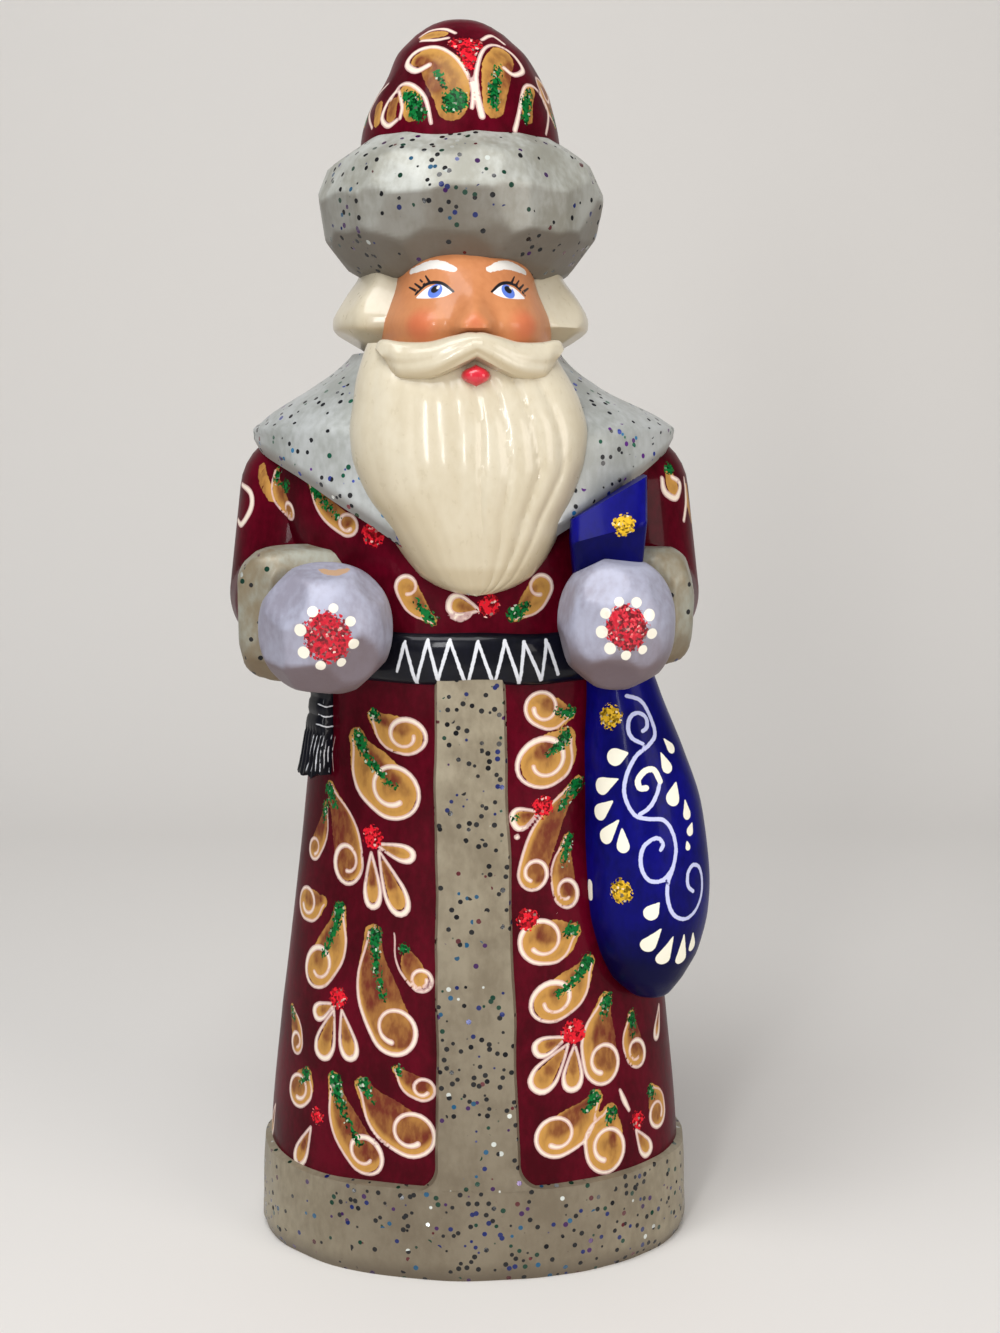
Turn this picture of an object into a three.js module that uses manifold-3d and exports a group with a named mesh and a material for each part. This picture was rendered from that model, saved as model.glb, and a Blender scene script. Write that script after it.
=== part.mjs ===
// A carved and painted wooden winter figure: a bearded man in a long fur-trimmed coat, with a round
// fur hat, mittens, a belt and a sack at his left side. It is cut from one block of linden, so all
// of its forms are joined into one solid. Millimetres, +Z up. The figure looks along -Y and stands
// on the XY plane, with the origin at the middle of its underside.

import * as THREE from 'three';
import { mergeVertices } from 'three/addons/utils/BufferGeometryUtils.js';
import Module from 'manifold-3d';

const wasm = await Module();
wasm.setup();

// Driving dimensions. Heights are measured from the underside.
const FIGURE_HEIGHT = 180;
const BASE_WIDTH = 64;
const BASE_DEPTH = 45.2;

// The neck, where the coat and the collar end under the beard and the hair.
const NECK = { height: 135, halfWidth: 13.0, halfDepth: 11.0 };

// The coat, as half widths and half depths up the body.
const COAT_STATIONS = [
  { height: 0, halfWidth: BASE_WIDTH / 2, halfDepth: BASE_DEPTH / 2 },
  { height: 14, halfWidth: 31.4, halfDepth: 22.2 },
  { height: 35, halfWidth: 29.3, halfDepth: 21.2 },
  { height: 50, halfWidth: 27.4, halfDepth: 20.5 },
  { height: 66, halfWidth: 25.4, halfDepth: 20.0 },
  { height: 82, halfWidth: 23.8, halfDepth: 19.8 },
  { height: 94, halfWidth: 24.4, halfDepth: 20.2 },
  { height: 105, halfWidth: 27.0, halfDepth: 20.6 },
  { height: 114, halfWidth: 28.6, halfDepth: 19.4 },
  { height: 121, halfWidth: 26.4, halfDepth: 16.4 },
  { height: 128, halfWidth: 17.2, halfDepth: 13.0 },
  NECK,
];
const COAT_SEGMENTS = 44;
const COAT_RINGS = 18;

// Above the belt the whole figure leans a little towards its right hand.
const UPPER_LEAN = -1.3;
const SHOULDER_HEIGHT = 112;

// The fur hem and the fur strip down the front stand proud of the coat.
const FUR_RELIEF = 0.9;
const HEM_HEIGHT = 14;
const STRIP_LEFT = -5.7;
const STRIP_TOP_RIGHT = 4.4;
const STRIP_RIGHT = 6.8;
const STRIP_CORNER = 3.4;

// The belt and the fringed end of the sash at the figure's right hip.
const BELT_BOTTOM = 86;
const BELT_WIDTH = 7.8;
const BELT_RELIEF = 1.3;
const SASH_END_LENGTH = 13.5;
const SASH_END_WIDTH = 7.5;
const SASH_END_THICKNESS = 2.6;
const SASH_END_ANGLE = 203;

// The wide fur collar, cut in a V at the front and in a shallower V behind.
const COLLAR_TIP_HEIGHT = 120.4;
const COLLAR_BEVEL = 2.0;
const COLLAR_RINGS = 4;
const COLLAR_STATIONS = [
  { height: 98, halfWidth: 30.5, halfDepth: 23.2 },
  { height: COLLAR_TIP_HEIGHT, halfWidth: 30.5, halfDepth: 21.6 },
  { height: COLLAR_TIP_HEIGHT + COLLAR_BEVEL, halfWidth: 29.4, halfDepth: 20.4 },
  { height: 128.2, halfWidth: 20.2, halfDepth: 17.3 },
  { height: 132.5, halfWidth: 15.0, halfDepth: 15.0 },
  NECK,
];
const COLLAR_FRONT_DROP = 19.5;
const COLLAR_BACK_DROP = 9.5;

// The arms: a short upper arm, a forearm coming forward, a fur cuff and a mitten.
const ARM = {
  shoulder: { side: 24.2, forward: -1, height: 112.5, radius: 9.0 },
  elbow: { side: 25.9, forward: -1, height: 97.5, radius: 9.8 },
  wrist: { side: 23.4, forward: 13, height: 95.6, radius: 9.8 },
};
const CUFF_RADIUS = 10.6;
const CUFF_LENGTH = 6.4;
const CUFF_EDGE = 1.8;
const MITTENS = {
  right: { side: -20.3, forward: 22.0, height: 94.7, halfWidth: 9.2, halfDepth: 8.2, halfHeight: 9.1 },
  left: { side: 19.6, forward: 22.0, height: 95.4, halfWidth: 8.1, halfDepth: 8.2, halfHeight: 9.2 },
};

// The head leans a little to the figure's right and looks a little to its left. Its features are set
// out by how far they lie below the middle of the face.
const HEAD_OFFSET = -1.8;
const HEAD_TURN = 5;
const HAIR_PROFILE = [[0, 128], [11.5, 130.6], [14.8, 132.2], [17.6, 136.6], [16.6, 143], [15.8, 150], [0, 152]];
const HAIR_FACETS = 16;
const FACE = { forward: 5, halfWidth: 13.6, halfDepth: 15.4, halfHeight: 19.0, height: 138.6 };
const CHEEK = { side: 6.0, forward: 14.9, below: 3.2, halfWidth: 6.8, halfDepth: 5.7, halfHeight: 4.6 };
const NOSE = { forward: 20.2, below: 0.8, halfWidth: 2.5, length: 7.6, reach: 5.2 };
const LIP = { forward: 24.6, below: 10.2, halfWidth: 1.9, halfDepth: 2.6, halfHeight: 1.7 };

const MOUSTACHE = { below: 6, forward: 23.9, spread: 14.0, droop: 2.3, rise: 1.2, halfHeight: 3.1, halfDepth: 2.8 };
const MOUSTACHE_SWEEP = 5.5;
const MOUSTACHE_OVERLAP = 1.2;

// The beard, as half widths and the forward reach of its face, from tip to top.
const BEARD_STATIONS = [
  { height: 99.2, halfWidth: 0, front: 22.4 },
  { height: 100.1, halfWidth: 4.9, front: 23.4 },
  { height: 103, halfWidth: 8.4, front: 24.8 },
  { height: 108, halfWidth: 12.1, front: 26.0 },
  { height: 114, halfWidth: 14.8, front: 26.6 },
  { height: 120.5, halfWidth: 15.8, front: 26.4 },
  { height: 127, halfWidth: 15.2, front: 25.2 },
  { height: 133, halfWidth: 14.2, front: 22.4 },
  { height: NECK.height, halfWidth: NECK.halfWidth, front: 19.0 },
];
const BEARD_BACK = 17.0;
const BEARD_LOCKS = 11;
const BEARD_GROOVE = 0.7;
const BEARD_OFFSET = -0.6;
const BEARD_RINGS = 15;
const BEARD_RING_SPREAD = 1.35;

// The hat: a thick knife-cut fur band and a soft crown.
const BAND_PROFILE = [
  [0, 142.6], [14.6, 142.6], [17.4, 144.2], [19.3, 148.6], [19.9, 153.4], [19.0, 157.8], [16.8, 160.9], [13.2, 162], [0, 162],
];
const BAND_FACETS = 20;
const CROWN_SEGMENTS = 30;
const CROWN_PROFILE = [[0, 158], [14.6, 158], [14.4, 163], [13.2, 168.6], [11.6, 172.4], [9.2, 175.8], [5.6, 178.4], [2.4, 179.7]];

// The sack hangs under the left mitten and its mouth stands above it.
const SACK_STATIONS = [
  { height: 38.8, side: 25.8, radius: 0 },
  { height: 39.8, side: 25.7, radius: 2.8 },
  { height: 42.6, side: 25.2, radius: 5.4 },
  { height: 46.5, side: 24.9, radius: 7.2 },
  { height: 52, side: 24.6, radius: 8.4 },
  { height: 60, side: 24.3, radius: 8.8 },
  { height: 69, side: 23.6, radius: 8.1 },
  { height: 77, side: 22.4, radius: 7.0 },
  { height: 84, side: 21.3, radius: 5.6 },
  { height: 92, side: 19.8, radius: 4.6 },
];
const SACK_FORWARD = 12.5;
const SACK_DEPTH_RATIO = 1.08;
const SACK_SEGMENTS = 28;
const SACK_RINGS = 15;
const SACK_RING_SPREAD = 1.5;
const SACK_MOUTH = { side: 19.0, forward: 18.6, bottom: 100, ridge: 107, top: 112.6, lean: 3.4 };
const SACK_MOUTH_WIDTHS = { bottom: 8.4, ridge: 10.4, top: 10.6 };
const SACK_MOUTH_DEPTHS = { bottom: 8, ridge: 10.4, top: 5.5 };

// Slivers narrower than this, left where two forms meet, are taken out of the finished solid.
const SLIVER_SIZE = 0.03;

/** Turns a closed three.js geometry, bent by warp, into a solid for joining and cutting. */
function solid(geometry, warp = () => {}) {
  geometry.deleteAttribute('normal');
  geometry.deleteAttribute('uv');
  const merged = mergeVertices(geometry, 1e-4);
  const position = merged.getAttribute('position');
  const point = new THREE.Vector3();
  for (let i = 0; i < position.count; i++) {
    warp(point.fromBufferAttribute(position, i));
    position.setXYZ(i, point.x, point.y, point.z);
  }
  const index = Array.from(merged.index.array);
  const triangles = [];
  for (let i = 0; i < index.length; i += 3) {
    const [a, b, c] = index.slice(i, i + 3);
    if (a !== b && b !== c && c !== a) triangles.push(a, b, c);
  }
  return new wasm.Manifold(new wasm.Mesh({
    numProp: 3,
    vertProperties: new Float32Array(position.array),
    triVerts: new Uint32Array(triangles),
  }));
}

/** Reads a named quantity of a list of stations at a height, along a smooth curve through them. */
function along(stations, key, height) {
  const rising = [...stations].sort((a, b) => a.height - b.height);
  const last = rising.length - 1;
  const at = THREE.MathUtils.clamp(height, rising[0].height, rising[last].height);
  let i = 0;
  while (i < last - 1 && rising[i + 1].height < at) i++;
  const t = (at - rising[i].height) / (rising[i + 1].height - rising[i].height);
  const values = [i - 1, i, i + 1, i + 2].map((k) => rising[THREE.MathUtils.clamp(k, 0, last)][key]);
  return new THREE.SplineCurve(values.map((v, k) => new THREE.Vector2(k, v))).getPoint((1 + t) / 3).y;
}

/** Heights from the lowest to the highest station, evenly spaced. */
function levels(stations, count) {
  const heights = stations.map((s) => s.height);
  const low = Math.min(...heights);
  const high = Math.max(...heights);
  return Array.from({ length: count + 1 }, (_, i) => THREE.MathUtils.lerp(low, high, i / count));
}

/** A turned blank: the profile of [radius, height] pairs spun about +Z, closed on the axis. */
function turned(profile, segments) {
  const points = profile.map(([radius, height]) => new THREE.Vector2(radius, height));
  return new THREE.LatheGeometry(points, segments).rotateX(Math.PI / 2);
}

/** How far the middle of the figure stands to one side at a height. */
function lean(height) {
  return UPPER_LEAN * THREE.MathUtils.smoothstep(height, BELT_BOTTOM, SHOULDER_HEIGHT);
}

/** A body whose elliptical sections follow stations of half widths and half depths, grown by relief. */
function bodyFrom(stations, heights, segments, relief = 0) {
  const profile = [[0, heights[0]], ...heights.map((h) => [1, h]), [0, heights[heights.length - 1]]];
  return solid(turned(profile, segments), (p) => {
    p.x = lean(p.z) + p.x * (along(stations, 'halfWidth', p.z) + relief);
    p.y *= along(stations, 'halfDepth', p.z) + relief;
  });
}

/** An outline in the front view, cut through the block between two depths. */
function sawn(outline, nearDepth, farDepth) {
  const geometry = new THREE.ExtrudeGeometry(new THREE.Shape(outline), { depth: farDepth - nearDepth, bevelEnabled: false });
  return solid(geometry.rotateX(Math.PI / 2).translate(0, farDepth, 0));
}

/** An ellipsoid of the given half sizes, centred at a place. */
function ball(segments, rings, halfWidth, halfDepth, halfHeight, x, y, z) {
  const geometry = new THREE.SphereGeometry(1, segments, rings).rotateX(Math.PI / 2);
  return solid(geometry.scale(halfWidth, halfDepth, halfHeight).translate(x, y, z));
}

/** A rounded limb between two balls. */
function limb(from, to, radiusFrom, radiusTo, segments = 20, capRings = 5) {
  const length = from.distanceTo(to);
  const arc = (centre, radius, start, end) => Array.from({ length: capRings + 1 }, (_, i) => {
    const angle = THREE.MathUtils.lerp(start, end, i / capRings);
    return new THREE.Vector2(Math.max(0, radius * Math.cos(angle)), centre + radius * Math.sin(angle));
  });
  const points = [...arc(0, radiusFrom, -Math.PI / 2, 0), ...arc(length, radiusTo, 0, Math.PI / 2)];
  const turn = new THREE.Quaternion().setFromUnitVectors(new THREE.Vector3(0, 1, 0), to.clone().sub(from).normalize());
  return solid(new THREE.LatheGeometry(points, segments).applyQuaternion(turn).translate(from.x, from.y, from.z));
}

/** Joins several solids into one. */
function joined(solids) {
  return solids.reduce((whole, part) => whole.add(part));
}

/** The figure's right (side -1) or left (side +1) joint of an arm, as a point. */
function armPoint(joint, side) {
  return new THREE.Vector3(UPPER_LEAN + side * joint.side, -joint.forward, joint.height);
}

function makeCoat() {
  return bodyFrom(COAT_STATIONS, levels(COAT_STATIONS, COAT_RINGS), COAT_SEGMENTS);
}

function makeFurTrim() {
  const heights = levels([{ height: 0 }, { height: BELT_BOTTOM + BELT_WIDTH / 2 }], 12);
  const fur = bodyFrom(COAT_STATIONS, heights, COAT_SEGMENTS, FUR_RELIEF);
  const top = BELT_BOTTOM + BELT_WIDTH / 2;
  const reach = BASE_WIDTH;
  const strip = new THREE.Path();
  strip.moveTo(STRIP_LEFT, top);
  strip.lineTo(STRIP_LEFT, HEM_HEIGHT + STRIP_CORNER);
  strip.quadraticCurveTo(STRIP_LEFT, HEM_HEIGHT, STRIP_LEFT - STRIP_CORNER, HEM_HEIGHT);
  strip.lineTo(-reach, HEM_HEIGHT);
  strip.lineTo(-reach, -1);
  strip.lineTo(reach, -1);
  strip.lineTo(reach, HEM_HEIGHT);
  strip.lineTo(STRIP_RIGHT + STRIP_CORNER, HEM_HEIGHT);
  strip.quadraticCurveTo(STRIP_RIGHT, HEM_HEIGHT, STRIP_RIGHT, HEM_HEIGHT + STRIP_CORNER);
  strip.lineTo(STRIP_TOP_RIGHT, top);
  const front = fur.intersect(sawn(strip.getPoints(6), -BASE_DEPTH, 0));
  const band = [[-reach, -1], [reach, -1], [reach, HEM_HEIGHT], [-reach, HEM_HEIGHT]];
  const hem = fur.intersect(sawn(band.map(([x, z]) => new THREE.Vector2(x, z)), -BASE_DEPTH, BASE_DEPTH));
  return front.add(hem);
}

function makeBelt() {
  const heights = [BELT_BOTTOM, BELT_BOTTOM + BELT_WIDTH / 2, BELT_BOTTOM + BELT_WIDTH];
  return bodyFrom(COAT_STATIONS, heights, COAT_SEGMENTS, BELT_RELIEF);
}

function makeSashEnd() {
  const top = BELT_BOTTOM + 1;
  const angle = THREE.MathUtils.degToRad(SASH_END_ANGLE);
  const geometry = new THREE.BoxGeometry(2, 2, SASH_END_LENGTH, 1, 5, 5).translate(0, 0, top - SASH_END_LENGTH / 2);
  return solid(geometry, (p) => {
    const fall = (top - p.z) / SASH_END_LENGTH;
    const half = (SASH_END_WIDTH / 2) * (0.66 + 0.34 * fall - 0.12 * Math.sin(Math.PI * Math.min(1, fall * 2)));
    const across = p.y * half;
    const outward = p.x > 0 ? SASH_END_THICKNESS * (0.75 + 0.25 * fall) : -2;
    const x = along(COAT_STATIONS, 'halfWidth', p.z) * Math.cos(angle);
    const y = along(COAT_STATIONS, 'halfDepth', p.z) * Math.sin(angle);
    p.x = x + outward * Math.cos(angle) - across * Math.sin(angle);
    p.y = y + outward * Math.sin(angle) + across * Math.cos(angle);
  });
}

function makeCollar() {
  const [lowest, tip, bevel, slope, neckEdge, neck] = COLLAR_STATIONS;
  const spans = [[lowest, tip], [tip, bevel], [bevel, slope], [slope, neckEdge], [neckEdge, neck]];
  const heights = [lowest.height, ...spans.flatMap((span) => levels(span, COLLAR_RINGS).slice(1))];
  const cape = bodyFrom(COLLAR_STATIONS, heights, COAT_SEGMENTS);
  const outline = (drop) => [[0, tip.height - drop], [tip.halfWidth, tip.height], [tip.halfWidth + drop, neck.height + drop],
    [-tip.halfWidth - drop, neck.height + drop], [-tip.halfWidth, tip.height]]
    .map(([x, z]) => new THREE.Vector2(UPPER_LEAN + x, z));
  const front = cape.intersect(sawn(outline(COLLAR_FRONT_DROP), -BASE_DEPTH, 0));
  const back = cape.intersect(sawn(outline(COLLAR_BACK_DROP), 0, BASE_DEPTH));
  return front.add(back);
}

function makeArm(side) {
  const shoulder = armPoint(ARM.shoulder, side);
  const elbow = armPoint(ARM.elbow, side);
  const wrist = armPoint(ARM.wrist, side);
  const upper = limb(shoulder, elbow, ARM.shoulder.radius, ARM.elbow.radius);
  return upper.add(limb(elbow, wrist, ARM.elbow.radius, ARM.wrist.radius));
}

function makeCuff(side) {
  const elbow = armPoint(ARM.elbow, side);
  const wrist = armPoint(ARM.wrist, side);
  const half = CUFF_LENGTH / 2;
  const inner = CUFF_RADIUS - CUFF_EDGE;
  const profile = [[0, -half], [inner, -half], [CUFF_RADIUS, CUFF_EDGE - half], [CUFF_RADIUS, half - CUFF_EDGE], [inner, half], [0, half]]
    .map(([radius, height]) => new THREE.Vector2(radius, height));
  const turn = new THREE.Quaternion().setFromUnitVectors(new THREE.Vector3(0, 1, 0), wrist.clone().sub(elbow).normalize());
  return solid(new THREE.LatheGeometry(profile, 16).applyQuaternion(turn).translate(wrist.x, wrist.y, wrist.z));
}

function makeMitten(mitten) {
  const geometry = new THREE.IcosahedronGeometry(1, 2);
  return solid(geometry.scale(mitten.halfWidth, mitten.halfDepth, mitten.halfHeight).translate(mitten.side, -mitten.forward, mitten.height));
}

function makeSack() {
  const bottom = SACK_STATIONS[0].height;
  const top = SACK_STATIONS[SACK_STATIONS.length - 1].height;
  const heights = Array.from({ length: SACK_RINGS }, (_, i) => bottom + (top - bottom) * ((i + 1) / SACK_RINGS) ** SACK_RING_SPREAD);
  const profile = [[0, bottom], ...heights.map((h) => [1, h]), [0, top]];
  return solid(turned(profile, SACK_SEGMENTS), (p) => {
    const radius = along(SACK_STATIONS, 'radius', p.z);
    p.x = along(SACK_STATIONS, 'side', p.z) + p.x * radius;
    p.y = -SACK_FORWARD + p.y * radius * SACK_DEPTH_RATIO;
  });
}

function makeSackMouth() {
  const geometry = new THREE.BoxGeometry(1, 1, 2, 1, 1, 2);
  return solid(geometry, (p) => {
    const row = ['bottom', 'ridge', 'top'][Math.round(p.z) + 1];
    const inward = p.y < 0 ? -1 : 0.6;
    const tilt = row === 'top' ? p.x * 4.8 : 0;
    p.x = SACK_MOUTH.side + p.x * SACK_MOUTH_WIDTHS[row] + (row === 'top' ? -0.4 : 0.6);
    p.y = -SACK_MOUTH.forward + inward * SACK_MOUTH_DEPTHS[row] / 2;
    p.z = SACK_MOUTH[row] + tilt;
  });
}

function makeHead() {
  const hair = solid(turned(HAIR_PROFILE, HAIR_FACETS));
  const face = ball(32, 22, FACE.halfWidth, FACE.halfDepth, FACE.halfHeight, 0, -FACE.forward, FACE.height);
  const cheeks = [-1, 1].map((side) => ball(18, 12, CHEEK.halfWidth, CHEEK.halfDepth, CHEEK.halfHeight, side * CHEEK.side, -CHEEK.forward, FACE.height - CHEEK.below));
  const nose = solid(new THREE.SphereGeometry(1, 14, 10).rotateX(Math.PI / 2), (p) => {
    const low = (1 - p.z) / 2;
    p.x *= NOSE.halfWidth * (0.55 + 0.45 * low);
    p.y = -NOSE.forward + p.y * NOSE.reach * (0.35 + 0.65 * low);
    p.z = FACE.height - NOSE.below + p.z * NOSE.length / 2;
  });
  const lip = ball(12, 8, LIP.halfWidth, LIP.halfDepth, LIP.halfHeight, 0, -LIP.forward, FACE.height - LIP.below);
  const lobe = makeMoustacheLobe();
  return joined([hair, face, ...cheeks, nose, lip, lobe, lobe.mirror([1, 0, 0])])
    .rotate([0, 0, HEAD_TURN]).translate([HEAD_OFFSET, 0, 0]);
}

function makeMoustacheLobe() {
  const geometry = new THREE.SphereGeometry(1, 12, 16).rotateZ(-Math.PI / 2);
  return solid(geometry, (p) => {
    const out = (p.x + 1) / 2;
    const fullness = Math.sin(Math.PI * (0.18 + 0.72 * out)) ** 0.5;
    p.x = out * MOUSTACHE.spread - MOUSTACHE_OVERLAP;
    p.z = FACE.height - MOUSTACHE.below - MOUSTACHE.droop * Math.sin(Math.PI * 0.62 * out) + MOUSTACHE.rise * out ** 3
      + p.z * MOUSTACHE.halfHeight * fullness;
    p.y = -MOUSTACHE.forward + MOUSTACHE_SWEEP * out ** 2 + p.y * MOUSTACHE.halfDepth;
  });
}

function makeBeard() {
  const tip = BEARD_STATIONS[0].height;
  const top = BEARD_STATIONS[BEARD_STATIONS.length - 1].height;
  const heights = Array.from({ length: BEARD_RINGS }, (_, i) => tip + (top - tip) * ((i + 1) / BEARD_RINGS) ** BEARD_RING_SPREAD);
  const profile = [[0, tip], ...heights.map((h) => [1, h]), [0, top]];
  return solid(turned(profile, 66), (p) => {
    const angle = Math.atan2(p.y, p.x);
    const groove = p.y < 0 ? BEARD_GROOVE * Math.abs(Math.cos(BEARD_LOCKS * angle)) ** 3 : 0;
    const halfWidth = along(BEARD_STATIONS, 'halfWidth', p.z);
    const depth = along(BEARD_STATIONS, 'front', p.z) - BEARD_BACK;
    p.x = BEARD_OFFSET + p.x * Math.max(0, halfWidth);
    p.y = -BEARD_BACK + p.y * Math.max(0.1, depth - groove);
  });
}

function makeHat() {
  const band = solid(turned(BAND_PROFILE, BAND_FACETS));
  const crown = solid(turned([...CROWN_PROFILE, [0, FIGURE_HEIGHT]], CROWN_SEGMENTS));
  return band.add(crown).translate([HEAD_OFFSET, 0, 0]);
}

const carving = joined([
  makeCoat(), makeFurTrim(), makeBelt(), makeSashEnd(), makeCollar(),
  makeArm(-1), makeArm(1), makeCuff(-1), makeCuff(1), makeMitten(MITTENS.right), makeMitten(MITTENS.left),
  makeSack(), makeSackMouth(), makeBeard(), makeHead(), makeHat(),
]).asOriginal().simplify(SLIVER_SIZE);

/** Gives a solid back as a three.js geometry. */
function geometryOf(body) {
  const mesh = body.getMesh();
  const geometry = new THREE.BufferGeometry();
  geometry.setAttribute('position', new THREE.BufferAttribute(mesh.vertProperties, mesh.numProp));
  geometry.setIndex(new THREE.BufferAttribute(mesh.triVerts, 1));
  geometry.computeVertexNormals();
  return geometry;
}

const paintedWood = new THREE.MeshStandardMaterial({ color: 0x5e1024, roughness: 0.3, metalness: 0 });
const figure = new THREE.Mesh(geometryOf(carving), paintedWood);
figure.name = 'carved_figure';

const group = new THREE.Group();
group.add(figure);
export default group;
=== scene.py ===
import logging
import math
from collections.abc import Callable, Sequence
from dataclasses import dataclass, field
from enum import Enum

import bmesh
import bpy
import numpy as np
from mathutils import Matrix, Vector
from mathutils.bvhtree import BVHTree


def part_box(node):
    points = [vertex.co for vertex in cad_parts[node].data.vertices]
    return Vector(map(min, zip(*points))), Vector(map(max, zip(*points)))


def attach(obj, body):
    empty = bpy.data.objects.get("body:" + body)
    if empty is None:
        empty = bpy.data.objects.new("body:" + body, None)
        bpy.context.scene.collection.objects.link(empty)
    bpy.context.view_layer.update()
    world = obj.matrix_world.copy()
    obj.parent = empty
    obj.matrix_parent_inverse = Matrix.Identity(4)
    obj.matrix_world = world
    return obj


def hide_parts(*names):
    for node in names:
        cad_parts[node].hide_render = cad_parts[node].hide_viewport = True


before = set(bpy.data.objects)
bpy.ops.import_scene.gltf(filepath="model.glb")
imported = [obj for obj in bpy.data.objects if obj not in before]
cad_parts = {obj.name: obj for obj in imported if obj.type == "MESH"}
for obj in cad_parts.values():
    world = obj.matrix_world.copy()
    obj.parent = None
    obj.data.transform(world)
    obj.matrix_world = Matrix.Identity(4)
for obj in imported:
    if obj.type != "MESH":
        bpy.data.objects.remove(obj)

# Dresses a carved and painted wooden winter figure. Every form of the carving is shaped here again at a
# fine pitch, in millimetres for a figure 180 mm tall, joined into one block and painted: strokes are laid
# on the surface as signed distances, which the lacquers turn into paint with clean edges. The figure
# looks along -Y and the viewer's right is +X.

NODE = "carved_figure"
BODY = "root"
PIECE = "carved_santa_figure"
DRAWN_HEIGHT = 180.0
REFINEMENTS = ((0.6, 0.6), (0.6, 0.36))
CREASE = math.radians(38)
FAR = 9.0
BESIDE = 0.8

Array = np.ndarray
Shape = Callable[[Array, Array, Array], Array]
Pair = tuple[float, float]
Triple = tuple[float, float, float]

log = logging.getLogger("carved_figure")


class Finish(Enum):
    """The painted finishes, one for each kind of surface."""

    COAT = "maroon_lacquer"
    FUR = "pearl_fur"
    BAND = "pale_pearl_fur"
    TRIM = "brown_pearl_fur"
    CUFF = "green_pearl_fur"
    MITTEN = "lilac_pearl"
    HAIR = "cream_lacquer"
    SKIN = "painted_skin"
    LIPS = "red_lacquer"
    SACK = "blue_lacquer"
    BELT = "night_lacquer"


class Paint(Enum):
    """The layers of paint, each kept as a distance from its edge."""

    WHITE = "white"
    OCHRE = "ochre"
    BROWN = "brown"
    GREEN = "green"
    RED = "red"
    CREAM = "cream"
    GOLD = "gold"
    INK = "ink"
    IRIS = "iris"
    BLUSH = "blush"


def through(stations: Sequence[Pair], at: Array) -> Array:
    """Reads a smooth curve through stations.

    Args:
        stations: Pairs of place and value, in rising order of place.
        at: The places to read.

    Returns:
        The values there, held level beyond the ends.
    """
    places = np.array([place for place, _ in stations])
    values = np.array([value for _, value in stations])
    last = len(places) - 1
    i = np.clip(np.searchsorted(places, at) - 1, 0, last - 1)
    t = np.clip((at - places[i]) / (places[i + 1] - places[i]), 0.0, 1.0)
    a, b, c, d = (values[np.clip(i + k, 0, last)] for k in (-1, 0, 1, 2))
    return 0.5 * (
        2 * b + (c - a) * t + (2 * a - 5 * b + 4 * c - d) * t**2 + (3 * b - a - 3 * c + d) * t**3
    )


def ease(low: float, high: float, at: Array) -> Array:
    """Rises smoothly from 0 at low to 1 at high."""
    t = np.clip((np.asarray(at, float) - low) / (high - low), 0.0, 1.0)
    return t * t * (3 - 2 * t)


def hump(at: Array, middle: float, spread: float) -> Array:
    """A bell curve of height 1 round middle."""
    return np.exp(-0.5 * ((at - middle) / spread) ** 2)


def wobble(points: Array, wavelength: float, seed: int) -> Array:
    """The unevenness of hand work: a sum of slow waves, between about -1 and 1.

    Args:
        points: Places, one a row.
        wavelength: The mean length of the waves.
        seed: Picks the waves.

    Returns:
        One number for each place.
    """
    draw = np.random.default_rng(seed)
    total = np.zeros(len(points))
    for _ in range(5):
        way = draw.normal(size=points.shape[1])
        way *= math.tau / (wavelength * draw.uniform(0.7, 1.4) * np.linalg.norm(way))
        total += np.sin(points @ way + draw.uniform(0, math.tau))
    return total / 3


def stack(x: Array, y: Array, z: Array) -> Array:
    """Puts three coordinates side by side as points."""
    return np.stack(np.broadcast_arrays(x, y, z), axis=-1)


def cored(share: Array, rim: Array, core: Array) -> Array:
    """The rim's points, and the core's where a blank closes at its axis."""
    return np.where(share[:, None] > 0.5, rim, core)


def polar(radius: Array | float, angle: Array, height: Array, middle: float = 0.0) -> Array:
    """Points round an upright axis, which may stand to the side."""
    return stack(middle + radius * np.sin(angle), -radius * np.cos(angle), height)


def band_wobble(angle: Array, reach: float, height: Array | float, wavelength: float, seed: int) -> Array:
    """The unevenness of a band that goes round the figure."""
    return wobble(stack(reach * np.sin(angle), reach * np.cos(angle), height), wavelength, seed)


def about(angle: Array, across: Array, other: Array) -> Array:
    """The directions at angles between two axes."""
    return np.cos(angle)[:, None] * across + np.sin(angle)[:, None] * other


def squared(angle: Array, power: float) -> Array:
    """The radius of a square of half width 1 with rounded corners."""
    return (np.abs(np.cos(angle)) ** power + np.abs(np.sin(angle)) ** power) ** (-1 / power)


def shown(name: str, data: bpy.types.ID) -> bpy.types.Object:
    """Puts data in the scene as an object.

    Args:
        name: What it is called.
        data: The mesh, the light or the camera.

    Returns:
        The object.
    """
    made = bpy.data.objects.new(name, data)
    bpy.context.scene.collection.objects.link(made)
    return made


def even(low: float, high: float, pitch: float) -> list[float]:
    """Values from low to high, evenly spaced at about a pitch."""
    return list(np.linspace(low, high, max(2, round((high - low) / pitch) + 1)))


def spun_blank(levels: Sequence[float], steps: int) -> bmesh.types.BMesh:
    """A closed tube of radius 1 about +Z, one ring of points at each level.

    Args:
        levels: The levels of its rings.
        steps: Points in each ring.

    Returns:
        The tube.
    """
    body = bmesh.new()
    places = [(0.0, levels[0]), *((1.0, level) for level in levels), (0.0, levels[-1])]
    points = [body.verts.new((radius, 0.0, level)) for radius, level in places]
    edges = [body.edges.new(pair) for pair in zip(points, points[1:])]
    bmesh.ops.spin(
        body, geom=[*points, *edges], cent=(0, 0, 0), axis=(0, 0, 1),
        angle=math.tau, steps=steps, use_merge=True,
    )
    bmesh.ops.remove_doubles(body, verts=body.verts, dist=1e-5)
    return body


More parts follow.
